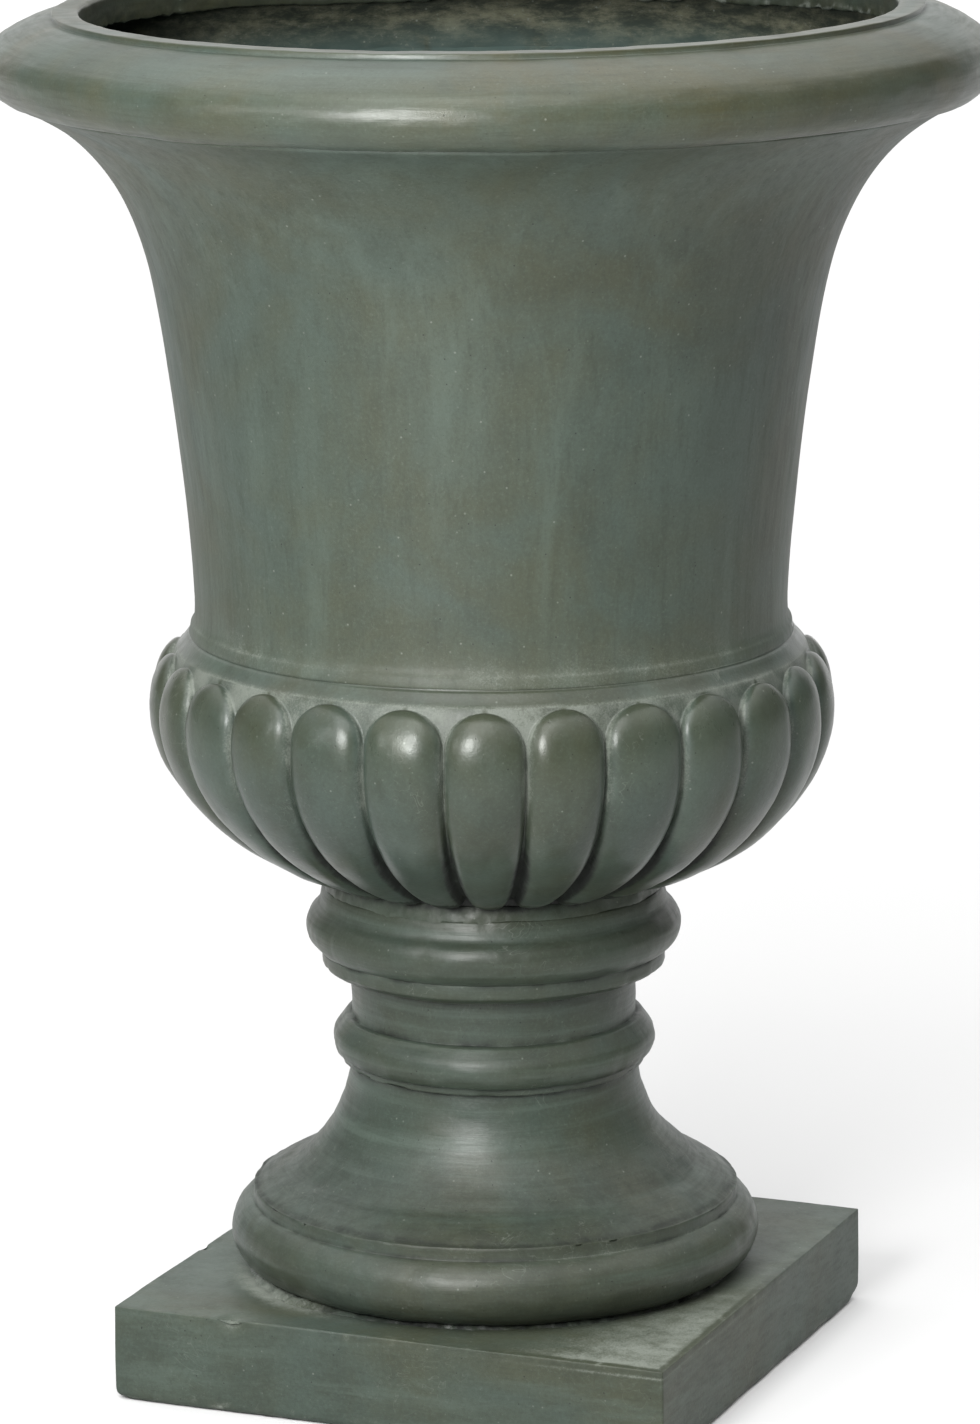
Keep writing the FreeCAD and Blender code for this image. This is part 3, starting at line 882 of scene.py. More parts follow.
@dataclass
class Plinth(Moulding):
    """Square shell, open below: an outline of half widths and heights carried round a rounded square."""

    wall: float = 0.014
    deck: float = 0.014
    hole: float = 0.0165
    corner: float = 0.0012
    foot_round: float = 0.0032
    hollow_corner: float = 0.010
    corner_ease: tuple[float, ...] = (0.0095, 0.008, 0.006, 0.003)
    round_radii: Point = (0.62, 0.3)
    soft: float = 0.0006
    side_columns: int = 184
    corner_columns: int = 7
    row_count: int = 112
    chips: tuple[Chip, ...] = (
        Chip((-0.084, -0.149, 0.0495), 0.010, 0.0022, pale=0.5),
        Chip((-0.149, -0.040, 0.0495), 0.006, 0.0016),
    )
    chip_roughness: float = 0.4
    roughness: Relief = Relief(1.0, 0.005, 11, 3)
    edge_wear: Relief = Relief(1.0, 0.018, 12, 2)
    wear_start: float = 0.15
    wear_depth: float = 0.0003
    waves: Relief = Relief(0.0003, 0.05, 13, 2)
    foot_band: float = 0.007
    # The deck's thin dust, then a painted pale sheen towards the front right and its streaks.
    dust_and_sheen: Point = (0.08, 1.0)
    sheen_side: Triple = (0.94, -0.34, 0.0)
    sheen_levels: Point = (0.085, 0.175)
    sheen_streaks: Relief = Relief(0.2, 0.012, 14, 3)
    sheen_draw: Triple = (0.3, 1.0, 1.0)
    crust_ring: Point = (0.130, 0.007)

    def focus(self, radius: Array, height: Array) -> Array:
        """Rows lie closest on the outer wall and on the bare border of the deck.

        Args:
            radius: Radius of each place on the outline.
            height: Its height.

        Returns:
            How closely rows should lie there.
        """
        outer = (radius > self.reach - 0.5 * self.wall).astype(float)
        border = (radius > 0.6 * self.reach) & (height > self.head - 0.5 * self.deck)
        return 0.16 + np.maximum(outer, border)

    def path(self, half: Array, round_off: Array) -> Array:
        """Rounded square for each row: a side of share -1 to 1 and a quarter round, turned four times.

        Args:
            half: Half width of each row.
            round_off: Radius of its corners.

        Returns:
            Rows by columns by two.
        """
        share = np.linspace(-1.0, 1.0, self.side_columns + 1)
        turn = QUARTER_TURN * np.arange(1, self.corner_columns) / self.corner_columns
        straight = (half - round_off)[:, None]
        side = np.stack([np.broadcast_to(half[:, None], (len(half), len(share))), straight * share], -1)
        arc = straight[..., None] + round_off[:, None, None] * np.stack([np.cos(turn), np.sin(turn)], -1)
        quarter = np.concatenate([side, arc], 1)
        turns = [np.array([[c, s], [-s, c]]) for c, s in ((1, 0), (0, 1), (-1, 0), (0, -1))]
        return np.concatenate([quarter @ turn for turn in turns], 1)

    def eased(self, points: Array) -> Array:
        """Rounds off each upright corner's foot: points draw in by a quarter round's depth at a height.

        Args:
            points: The plinth's grid.

        Returns:
            The eased grid.
        """
        eased = points.copy()
        for corner, ease in zip(((1, 1), (-1, 1), (-1, -1), (1, -1)), self.corner_ease):
            away = np.abs(points[..., :2] - self.reach * np.array(corner)).max(-1)
            drop = np.clip(1.0 - points[..., 2] / ease, 0.0, 1.0)
            draw = ease * (1.0 - np.sqrt(1.0 - drop**2)) * smoothstep(away, 1.6 * ease, 0.0)
            eased[..., :2] -= EIGHTH * np.array(corner) * draw[..., None]
        return eased

    def outline(self) -> Outline:
        """Deck, hollow, foot and outer wall, from the hole's lower edge out and back over the deck.

        Returns:
            The outline, not closed yet.
        """
        under, inner = self.head - self.deck, self.reach - self.wall
        ease = (1.0 - EIGHTH) * self.foot_round
        outline = Outline(self.hole, under)
        outline.line((inner, under), (inner, 0.0), (self.reach - self.foot_round, 0.0))
        outline.arc((self.reach - ease, ease), (self.reach, self.foot_round))
        return outline.line((self.reach, self.head), (self.hole, self.head))

    def grid(self) -> Grid:
        """The outline carried round a square path, which turns into a circle under the pedestal.

        Returns:
            Its points and masks.
        """
        rows = self.outline().close(self.soft).profile(self.row_count, self.focus)
        inside = (rows.radius < self.reach - 0.6 * self.wall) & (rows.height < self.head - 0.5 * self.deck)
        round_off = np.minimum(np.where(inside, self.hollow_corner, self.corner), 0.4 * rows.radius)
        square = self.path(rows.radius, round_off)
        circle = square / np.linalg.norm(square, axis=-1, keepdims=True) * rows.radius[:, None, None]
        roundness = smoothstep(rows.radius / self.reach, *self.round_radii)[:, None, None]
        flat = square * (1.0 - roundness) + circle * roundness
        height = np.broadcast_to(rows.height[:, None, None], (*flat.shape[:2], 1))
        points = self.eased(np.concatenate([flat, height], -1))
        proud = rows.creases(flat.shape[1])[1]
        raw = np.broadcast_to(inside[:, None].astype(float), flat.shape[:2])
        near_foot = smoothstep(points[..., 2], self.foot_band, 0.0) * (1.0 - raw)
        rough = self.roughness.over(points)
        specks = np.clip(rough, 0.0, 1.0)
        wear = proud * np.clip(self.edge_wear.over(points) - self.wear_start, 0.0, 1.0) + near_foot * specks
        domes = [chip.dome(points) for chip in self.chips]
        depth = sum(chip.depth * dome for chip, dome in zip(self.chips, domes))
        pale = np.maximum.reduce([chip.pale * dome for chip, dome in zip(self.chips, domes)])
        sunk = self.wear_depth * wear + depth * (1.0 + self.chip_roughness * rough)
        points = points - outward(points) * (sunk - self.waves.over(points) * (1.0 - raw))[..., None]
        points[..., 2] = np.maximum(points[..., 2], 0.0)

        # Painted light: a thin dust over the deck and a streaky pale sheen that grows towards the front
        # right.
        deck = (points[..., 2] > 0.9 * self.head) * (1.0 - proud)
        front = smoothstep(points @ np.array(self.sheen_side), *self.sheen_levels)
        streaks = 1.0 - self.sheen_streaks.height + self.sheen_streaks.over(points * np.array(self.sheen_draw))
        dust_and_sheen = deck * (self.dust_and_sheen[0] + self.dust_and_sheen[1] * front * streaks)
        crust = deck * beside(points, CRUST_AZIMUTH, CRUST_SPREAD)
        crust = crust * hump(reach_of(points) - self.crust_ring[0], self.crust_ring[1])
        return points, {
            Mark.DUST: dust_and_sheen + crust + 0.6 * near_foot * specks + pale + 0.5 * proud * specks**2,
            Mark.RUB_AND_REFLECTION: 0.25 * proud * specks,
            Mark.GRIME_AND_SHADE: 0.2 * proud * (1.0 - specks),
            Mark.RAW: raw,
        }


@dataclass
class Pedestal(Moulding):
    """Turned foot: torus, fillet, cyma, flare, ring, neck, step, upper torus and shoulder, hollow inside."""

    torus_foot_set_in: float = 0.0154
    torus_head_set_in: float = 0.0096
    torus_height: float = 0.0342
    fillet_height: float = 0.0070
    fillet_batter: float = 0.0006
    fillet_ledge: float = 0.0013
    cyma_reach: float = 0.0199
    cyma_height: float = 0.0108
    cyma_middle: Point = (0.57, 0.5)
    flare_height: float = 0.0546
    flare_middle: Point = (0.36, 0.39)
    stem_radius: float = 0.0740
    ring_fillet: Point = (0.0776, 0.0038)
    ring_radius: float = 0.0830
    ring_bead_height: float = 0.0164
    ring_bead_set_in: float = 0.0034
    ring_bead_widest: float = 0.56
    ring_cap: Point = (0.0032, 0.0046)
    neck_radius: float = 0.0732
    neck_height: float = 0.0238
    step_radius: float = 0.0880
    step_round: float = 0.0042
    step_height: float = 0.0112
    upper_radius: float = 0.0961
    upper_height: float = 0.0250
    upper_set_in: float = 0.0086
    shoulder: tuple[Point, ...] = ((0.09218, 0.23896), (0.0903, 0.2405), (0.0890, 0.2440), (0.0874, 0.2505))
    wall: float = 0.012
    plate: float = 0.014
    hole: float = 0.0165
    hollow_turn: float = 0.13
    hollow_radii: Triple = (0.112, 0.064, 0.064)
    soft: float = 0.0005
    columns: int = 504
    row_count: int = 188
    ring_draw: Triple = (0.25, 0.25, 1.0)
    tool_rings: Relief = Relief(0.00022, 0.004, 21, 3)
    waves: Relief = Relief(0.0003, 0.03, 22, 2)
    wear: Relief = Relief(1.0, 0.012, 23, 2)
    wear_depth: float = 0.0007
    blotches: Relief = Relief(0.9, 0.016, 24, 3)
    crust_rise: Point = (0.024, 0.002)
    # Painted shade on the lower flare and torus, and a painted shadow line under the cyma's brow.
    shade_levels: Point = (0.140, 0.105)
    shade: Point = (0.25, 0.11)
    shade_step: Point = (0.086, 0.094)
    brow_shadow_line: Point = (0.0006, 0.0009)

    def outline(self) -> Outline:
        """The foot's outline, from the hollow's lower edge out and up to the shoulder and down inside.

        Returns:
            The outline, not closed yet.
        """
        foot = self.reach - self.torus_foot_set_in
        torus_head = self.reach - self.torus_head_set_in
        torus_top = self.foot + self.torus_height
        cyma_base = torus_top + self.fillet_height
        fillet_side = torus_head - self.fillet_ledge
        cyma_lip = fillet_side - self.fillet_batter - self.fillet_ledge
        cyma_turn = cyma_lip - self.cyma_reach
        cyma_top = cyma_base + self.cyma_height
        ring_base = cyma_top + self.flare_height
        bead_base = ring_base + self.ring_fillet[1]
        bead_top = bead_base + self.ring_bead_height
        bead_side = self.ring_radius - self.ring_bead_set_in
        bead_widest = bead_base + self.ring_bead_widest * self.ring_bead_height
        ring_top = bead_top + self.ring_cap[1]
        step_base = ring_top + self.neck_height
        step_turn = self.neck_radius + EIGHTH * (self.step_radius - self.neck_radius)
        upper_base = step_base + self.step_height
        upper_side = self.upper_radius - self.upper_set_in
        cyma_mid_radius = cyma_turn + self.cyma_middle[0] * self.cyma_reach
        cyma_mid_level = cyma_base + self.cyma_middle[1] * self.cyma_height
        flare_mid_radius = self.stem_radius + self.flare_middle[0] * (cyma_turn - self.stem_radius)
        flare_mid_level = cyma_top + self.flare_middle[1] * self.flare_height
        bore, base_bore = self.neck_radius - self.wall, foot - self.wall
        outline = Outline(base_bore, self.foot).line((foot, self.foot))
        outline.arc((self.reach, self.foot + 0.5 * self.torus_height), (torus_head, torus_top))
        outline.line((fillet_side, torus_top), (fillet_side - self.fillet_batter, cyma_base))
        outline.line((cyma_lip, cyma_base))
        outline.arc((cyma_mid_radius, cyma_mid_level), (cyma_turn, cyma_top))
        outline.arc((flare_mid_radius, flare_mid_level), (self.stem_radius, ring_base))
        outline.line((self.ring_fillet[0], ring_base), (self.ring_fillet[0], bead_base))
        outline.line((bead_side, bead_base))
        outline.arc((self.ring_radius, bead_widest), (bead_side, bead_top))
        outline.line((bead_side - self.ring_cap[0], ring_top), (self.neck_radius, ring_top))
        outline.line((self.neck_radius, step_base))
        step_lip = (self.step_radius, step_base + self.step_round)
        outline.arc((step_turn, step_base + (1.0 - EIGHTH) * self.step_round), step_lip)
        outline.line((self.step_radius, upper_base), (upper_side, upper_base))
        outline.arc((self.upper_radius, upper_base + 0.5 * self.upper_height), self.shoulder[0])
        outline.curve(np.array(self.shoulder[1:]))
        outline.line((0.6 * self.neck_radius, self.head), (self.hole, self.head))
        outline.line((self.hole, self.head - self.plate), (bore, self.head - self.plate))
        outline.line((bore, cyma_top + 0.6 * self.flare_height))
        return outline.line((base_bore, self.foot + 0.66 * self.torus_height))

    def focus(self, radius: Array, height: Array) -> Array:
        """Rows lie closest on the outside.

        Args:
            radius: Radius of each place on the outline.
            height: Its height.

        Returns:
            How closely rows should lie there.
        """
        inside = (radius < self.neck_radius - 0.2 * self.wall) | (height < self.foot + 0.0006)
        hollow = radius < np.interp(height, [self.foot, self.hollow_turn, self.head], self.hollow_radii)
        return np.where(inside | hollow, 0.12, 1.0)

    def grid(self) -> Grid:
        """The outline turned round the axis, with brush waves, pits and dust in its creases.

        Returns:
            Its points and masks.
        """
        rows = self.outline().close(self.soft).profile(self.row_count, self.focus)
        points = rows.turned(self.columns)
        outside = np.broadcast_to(self.focus(rows.radius, rows.height)[:, None] > 0.5, points.shape[:2])
        hollow, proud = rows.creases(self.columns)
        waves = self.tool_rings.over(points * np.array(self.ring_draw)) + self.waves.over(points)
        wear = self.wear_depth * proud * np.clip(self.wear.over(points), 0.0, 1.0)
        points = points + outward(points) * ((waves - wear) * outside)[..., None]
        level, blotch = points[..., 2], self.blotches.blotches(points)
        crust = beside(points, CRUST_AZIMUTH, CRUST_SPREAD) * outside
        crust = crust * smoothstep(level - self.foot, *self.crust_rise)
        # Painted shade: the lower flare and torus darker, a dark line under the cyma's brow, and darker
        # creases.
        shade = self.shade[0] + self.shade[1] * smoothstep(level, *self.shade_step)
        shade = shade * smoothstep(level, *self.shade_levels) * outside
        brow_level = self.foot + self.torus_height + self.fillet_height + self.brow_shadow_line[0]
        brow = hump(level - brow_level, self.brow_shadow_line[1]) * outside
        grime = np.maximum.reduce([0.6 * hollow * outside * (1.0 - 0.6 * blotch), shade, 0.65 * brow])
        return points, {
            Mark.DUST: np.maximum(0.38 * hollow * outside, crust) * (0.25 + 0.75 * blotch),
            Mark.RUB_AND_REFLECTION: 0.2 * proud * outside,
            Mark.GRIME_AND_SHADE: grime * (1.0 - crust),
            Mark.RAW: 1.0 - outside,
        }


@dataclass
class Gadroon:
    """The lobed rows of the bowl's grid: share of a lobe's length, share across it, its dome and its lift."""

    climb: Array
    side: Array
    dome: Array
    lift: Array


@dataclass
class Bowl(Moulding):
    """Gadrooned bowl: an oval body whose grid bends round the lobes and is raised over each of them."""

    lobes: int = 26
    lobe_columns: int = 30
    fill: float = 0.97
    low_fill: float = 0.83
    foot_radius: float = 0.0850
    foot_height: float = 0.0132
    under_depth: float = 0.0960
    groove_depth: float = 0.0095
    groove_low_depth: float = 0.0058
    shoulder_swell: float = 0.0107
    shoulder_rise: float = 0.0360
    tip_angle: float = math.radians(55.0)
    edge_angle: float = math.radians(60.0)
    slope: Point = (0.0054, 0.0068)
    slope_hollow: float = 0.0002
    nib: Point = (0.0012, 0.0005)
    band: Point = (0.0008, 0.0057)
    wall: float = 0.0137
    floor: float = 0.016
    ledge: float = 0.008
    rebate_depth: float = 0.0154
    rebate_radius: float = 0.1461
    hole: float = 0.0165
    hollow_pole: float = 0.976
    soft: float = 0.0004
    lobe_foot: float = 0.0088
    tip_gap: float = 0.0004
    tip_swell: float = 1.5
    fullness: float = 2.5
    full_climb: float = 0.9
    pitch_spread: float = 0.02
    length_spread: float = 0.0008
    oval_steps: int = 40
    throat_steps: int = 24
    rows_below: int = 4
    rows_lobe: int = 50
    rows_above: int = 5
    rows_rest: int = 60
    seed: int = 41
    waves: Relief = Relief(0.00025, 0.014, 42, 2)
    blotches: Relief = Relief(0.8, 0.012, 44, 3)
    line_dust: float = 0.55
    line_height: float = 0.0009

    def __post_init__(self) -> None:
        """Works out the levels and radii that the outline and the lobes share."""
        super().__post_init__()
        self.body = self.reach - self.groove_depth
        self.foot_angle = math.acos(self.foot_radius / self.body)
        self.widest = self.foot + self.foot_height + self.under_depth * math.sin(self.foot_angle)
        self.shoulder = self.body - self.shoulder_swell
        self.edge = tuple(self.over(np.array(self.edge_angle)))
        self.tip = tuple(self.over(np.array(self.tip_angle)))

    def under(self, turn: Array) -> Array:
        """Oval below the widest level, by the angle down from it."""
        return np.stack([self.body * np.cos(turn), self.widest - self.under_depth * np.sin(turn)], -1)

    def over(self, turn: Array) -> Array:
        """Oval above the widest level, by the angle up from it."""
        out = self.shoulder + self.shoulder_swell * np.cos(turn)
        return np.stack([out, self.widest + self.shoulder_rise * np.sin(turn)], -1)

    def hollow(self, floor: float, ledge_level: float, ledge_radius: float) -> tuple[Array, Array]:
        """The inside's two ovals: from the ledge down to the widest level, and from there to the floor.

        Args:
            floor: Level of the floor.
            ledge_level: Level of the ledge.
            ledge_radius: Radius of its inner edge.

        Returns:
            Places along the upper and the lower oval.
        """
        widest_inside = self.body - self.wall
        quarter = np.linspace(0.0, QUARTER_TURN, self.throat_steps)
        throat_rise = ledge_level - 0.5 * self.ledge - self.widest
        throat_radius = widest_inside - (widest_inside - ledge_radius) * (1.0 - np.cos(quarter))
        throat = np.stack([throat_radius, self.widest + throat_rise * np.sin(quarter)], -1)
        sink = np.linspace(0.0, math.asin(self.hollow_pole), self.oval_steps)
        depth = (self.widest - floor) / self.hollow_pole
        return throat[::-1], np.stack([widest_inside * np.cos(sink), self.widest - depth * np.sin(sink)], -1)

    def ring(self) -> Ring:
        """The plain body's outline: foot, ovals, collar slope and band, rebate, ledge, hollow and floor.

        Returns:
            The outline, closed and softened.
        """
        floor = self.foot + self.floor
        ledge_level = self.head - self.rebate_depth
        ledge_radius = self.rebate_radius - self.ledge
        edge_radius, edge_level = self.edge
        nib_radius, nib_level = edge_radius - self.slope[0], edge_level + self.slope[1]
        band_radius, band_level = nib_radius - self.nib[0], nib_level + self.nib[1]
        middle_radius = 0.5 * (edge_radius + nib_radius) - self.slope_hollow
        middle_level = 0.5 * (edge_level + nib_level) - self.slope_hollow
        throat, hollow = self.hollow(floor, ledge_level, ledge_radius)
        outline = Outline(self.hole, self.foot).line((self.foot_radius, self.foot))
        outline.line(*self.under(np.linspace(self.foot_angle, 0.0, 2 * self.oval_steps)))
        outline.line(*self.over(np.linspace(0.0, self.edge_angle, self.oval_steps)))
        outline.arc((middle_radius, middle_level), (nib_radius, nib_level))
        outline.line((band_radius, band_level), (band_radius - self.band[0], band_level + self.band[1]))
        outline.line((self.rebate_radius, self.head), (self.rebate_radius, ledge_level))
        outline.line((ledge_radius, ledge_level), *throat, *hollow, (self.hole, floor))
        return outline.close(self.soft)

    def columns(self) -> tuple[Array, Array]:
        """Columns of the grid, which gather towards the grooves between the lobes.

        Returns:
            Angle of each column and its share, -1 to 1, across its lobe.
        """
        random = np.random.default_rng(self.seed)
        pitch = FULL_TURN / self.lobes
        groove = pitch * (np.arange(self.lobes + 1) - 0.5)
        groove[:-1] += random.uniform(-self.pitch_spread, self.pitch_spread, self.lobes) * pitch
        groove[-1] = groove[0] + FULL_TURN
        share = -np.cos(math.pi * np.arange(self.lobe_columns) / self.lobe_columns)
        angle = groove[:-1, None] + np.diff(groove)[:, None] * 0.5 * (share + 1.0)
        return angle.ravel(), np.tile(share, self.lobes)

    def lobed_rows(self, share: Array, length: Array, end: float, halves: Point) -> Array:
        """Places along the outline, from the lobes' lower tips: rows below, on and above the lobes.

        A lobe's end at a column lies inside its tip by a circle's depth there: half its width, less that half
        times the root of one less the squared share across.

        Args:
            share: Share across the lobe at each column.
            length: Length of the lobe at each column.
            end: Length from the lower tips to the collar's edge.
            halves: Half widths of a lobe at its lower and its upper tip.

        Returns:
            Lengths, rows by columns.
        """
        low_across = np.minimum(np.abs(share) / self.low_fill, 1.0)
        top_across = np.minimum(np.abs(share) / self.fill, 1.0)
        low = self.tip_gap + halves[0] * (1.0 - np.sqrt(1.0 - low_across**2))
        top = length - halves[1] * (1.0 - np.sqrt(1.0 - top_across**2))
        below = (np.arange(self.rows_below) / self.rows_below)[:, None]
        sweep = (0.5 - 0.5 * np.cos(math.pi * np.arange(self.rows_lobe + 1) / self.rows_lobe))[:, None]
        above = (np.arange(1, self.rows_above + 1) / self.rows_above)[:, None]
        return np.concatenate([low * below, low + (top - low) * sweep, top + (end - top) * above])

    def plain_rows(self, ring: Ring, start: int, edge: int) -> Array:
        """Rows from the collar's edge through the hollow and back to the foot.

        Args:
            ring: The body's outline.
            start: Index of the lobes' foot.
            edge: Index of the collar's edge.

        Returns:
            Fractional indices of the rows.
        """
        count = len(ring.points)
        dense = np.concatenate([np.arange(edge, count), np.arange(0, start)])[1:]
        total = np.cumsum(ring.weight(self.focus)[dense])
        wanted = (np.arange(self.rows_rest) + 0.5) * total[-1] / self.rows_rest
        return (edge + 1 + np.interp(wanted, total, np.arange(len(dense)))) % count

    def gadroon(self, along: Array, length: Array, share: Array, halves: Point, widest: float) -> Gadroon:
        """Lobes over the lobed rows.

        A lobe's height is its depth, times the root that rounds off its ends, times the dome across it: one
        less the share across to the power of its fullness, to one over that power.

        Args:
            along: Lengths from the lower tips, rows by columns.
            length: Length of the lobe at each column.
            share: Share across the lobe at each column.
            halves: Half widths of a lobe at its lower and its upper tip.
            widest: Length from the lower tips to the widest level.

        Returns:
            The lobes' shares and lift.
        """
        to_tip = np.minimum(along / halves[0], (length - along) / halves[1])
        tip_round = np.sqrt(np.clip(1.0 - np.clip(1.0 - to_tip, 0.0, 1.0) ** 2, TINY, 1.0))
        swelling = np.sqrt(1.0 - np.clip(1.0 - to_tip / self.tip_swell, 0.0, 1.0) ** 2)
        climb = np.clip(along / widest, 0.0, 1.0)
        depth = self.groove_low_depth + (self.groove_depth - self.groove_low_depth) * climb
        fill = self.low_fill + (self.fill - self.low_fill) * smoothstep(climb, 0.0, self.full_climb)
        side = np.minimum(np.abs(share) / fill, 1.0) / tip_round
        dome = np.clip(1.0 - side**self.fullness, 0.0, 1.0) ** (1.0 / self.fullness)
        lift = depth * swelling * dome * ((to_tip > 0.0) & (dome > 0.0))
        return Gadroon(along / length.mean(), np.clip(side, 0.0, 1.0), dome, lift)

    def grid(self) -> Grid:
        """Rows follow the body's outline; between foot and collar they bend round each lobe's tips.

        Returns:
            Its points and masks.
        """
        ring = self.ring()
        start = ring.nearest((self.foot_radius, self.foot + self.lobe_foot))
        tip, edge, widest = map(ring.nearest, (self.tip, self.edge, (self.body, self.widest)))
        angle, share = self.columns()
        random = np.random.default_rng(self.seed + 1)
        spread = random.uniform(-self.length_spread, self.length_spread, self.lobes)
        length = (tip - start) * ring.step + np.repeat(spread, self.lobe_columns)
        half_pitch = math.tan(math.pi / self.lobes)
        halves = (self.foot_radius * half_pitch * self.low_fill, self.tip[0] * half_pitch * self.fill)
        along = self.lobed_rows(share, length, (edge - start) * ring.step, halves)
        plain = np.broadcast_to(self.plain_rows(ring, start, edge)[:, None], (self.rows_rest, len(angle)))
        index = np.concatenate([start + along / ring.step, plain])
        radius, height = ring.at(index)
        points = np.stack([radius * np.cos(angle), radius * np.sin(angle), height], -1)
        gadroon = self.gadroon(along, length, share, halves, (widest - start) * ring.step)
        lift = np.zeros(points.shape[:2])
        lift[: len(along)] = gadroon.lift + self.waves.over(points[: len(along)])
        points = points + outward(points) * lift[..., None]
        return points, self.marks(points, gadroon, *ring.creases(index))

    def focus(self, radius: Array, height: Array) -> Array:
        """Rows of the plain part lie closest on the collar."""
        collar = (height > self.widest) & (radius > self.rebate_radius + 0.001)
        return np.where(collar, 1.0, 0.2)

    def marks(self, points: Array, gadroon: Gadroon, hollow: Array, proud: Array) -> dict[Mark, Array]:
        """Dust round the lobes' upper tips and on the collar, dirt and painted shade low in the grooves,
        painted shade between the upper tips, at the lower tips and on the foot, and rubbed bronze wear with a
        painted dark reflection on the lobes' upper parts.

        Args:
            points: The bowl's grid.
            gadroon: The lobed rows.
            hollow: How hollow the outline is over the grid.
            proud: How proud it is.

        Returns:
            The masks.
        """
        climb, side, dome, lobed = gadroon.climb, gadroon.side, gadroon.dome, len(gadroon.climb)
        radius, level = reach_of(points), points[..., 2]
        blotch = self.blotches.blotches(points[:lobed])
        high, low = smoothstep(climb, 0.5, 0.78), smoothstep(climb, 0.75, 0.35)
        valley_dirt_and_shade = smoothstep(side, 0.93 - 0.22 * low, 1.0 - 0.07 * low)
        brow = smoothstep(side, 0.80, 0.90) * smoothstep(side, 0.985, 0.92)
        between = (dome <= 0.0) * smoothstep(climb, 0.5, 0.9)
        seam = smoothstep(side, 0.90, 0.97) * high * (0.5 + 0.5 * blotch)
        line = hump(level - self.edge[1] - 0.0005, self.line_height) * (level > self.edge[1] - 0.003)
        dust = np.maximum(0.45 * hollow, self.line_dust * line)
        upper = [0.4 * brow * blotch * high, 0.04 * between, 0.85 * seam, self.line_dust * line[:lobed]]
        dust[:lobed] = np.maximum.reduce(upper)
        # Painted shade: dark lower grooves with some dirt, the hollows between the upper tips, the lower
        # tips, and the foot under the lobes.
        grime = np.zeros(points.shape[:2])
        low_tip_shade = 0.3 * smoothstep(climb, 0.22, 0.0)
        grime[:lobed] = np.maximum.reduce([valley_dirt_and_shade * low * (1.0 - between), 0.3 * between, low_tip_shade])
        grime = np.maximum(grime, 0.6 * ((level < self.foot + 0.013) & (radius > 0.06)))
        rub = 0.5 * proud
        # The lobes' upper parts: rubbed bronze wear and a painted dark reflection of the bell above.
        tops_rub_and_reflection = smoothstep(dome, 0.45, 0.8) * smoothstep(climb, 0.66, 0.95) * 0.55
        rub[:lobed] = np.maximum(0.3 * rub[:lobed], tops_rub_and_reflection)
        raw = (radius < self.rebate_radius + 0.0005) & (level > self.foot + 0.9 * self.floor)
        raw[:lobed] = False
        return {Mark.DUST: dust, Mark.RUB_AND_REFLECTION: rub, Mark.GRIME_AND_SHADE: grime, Mark.RAW: raw.astype(float)}


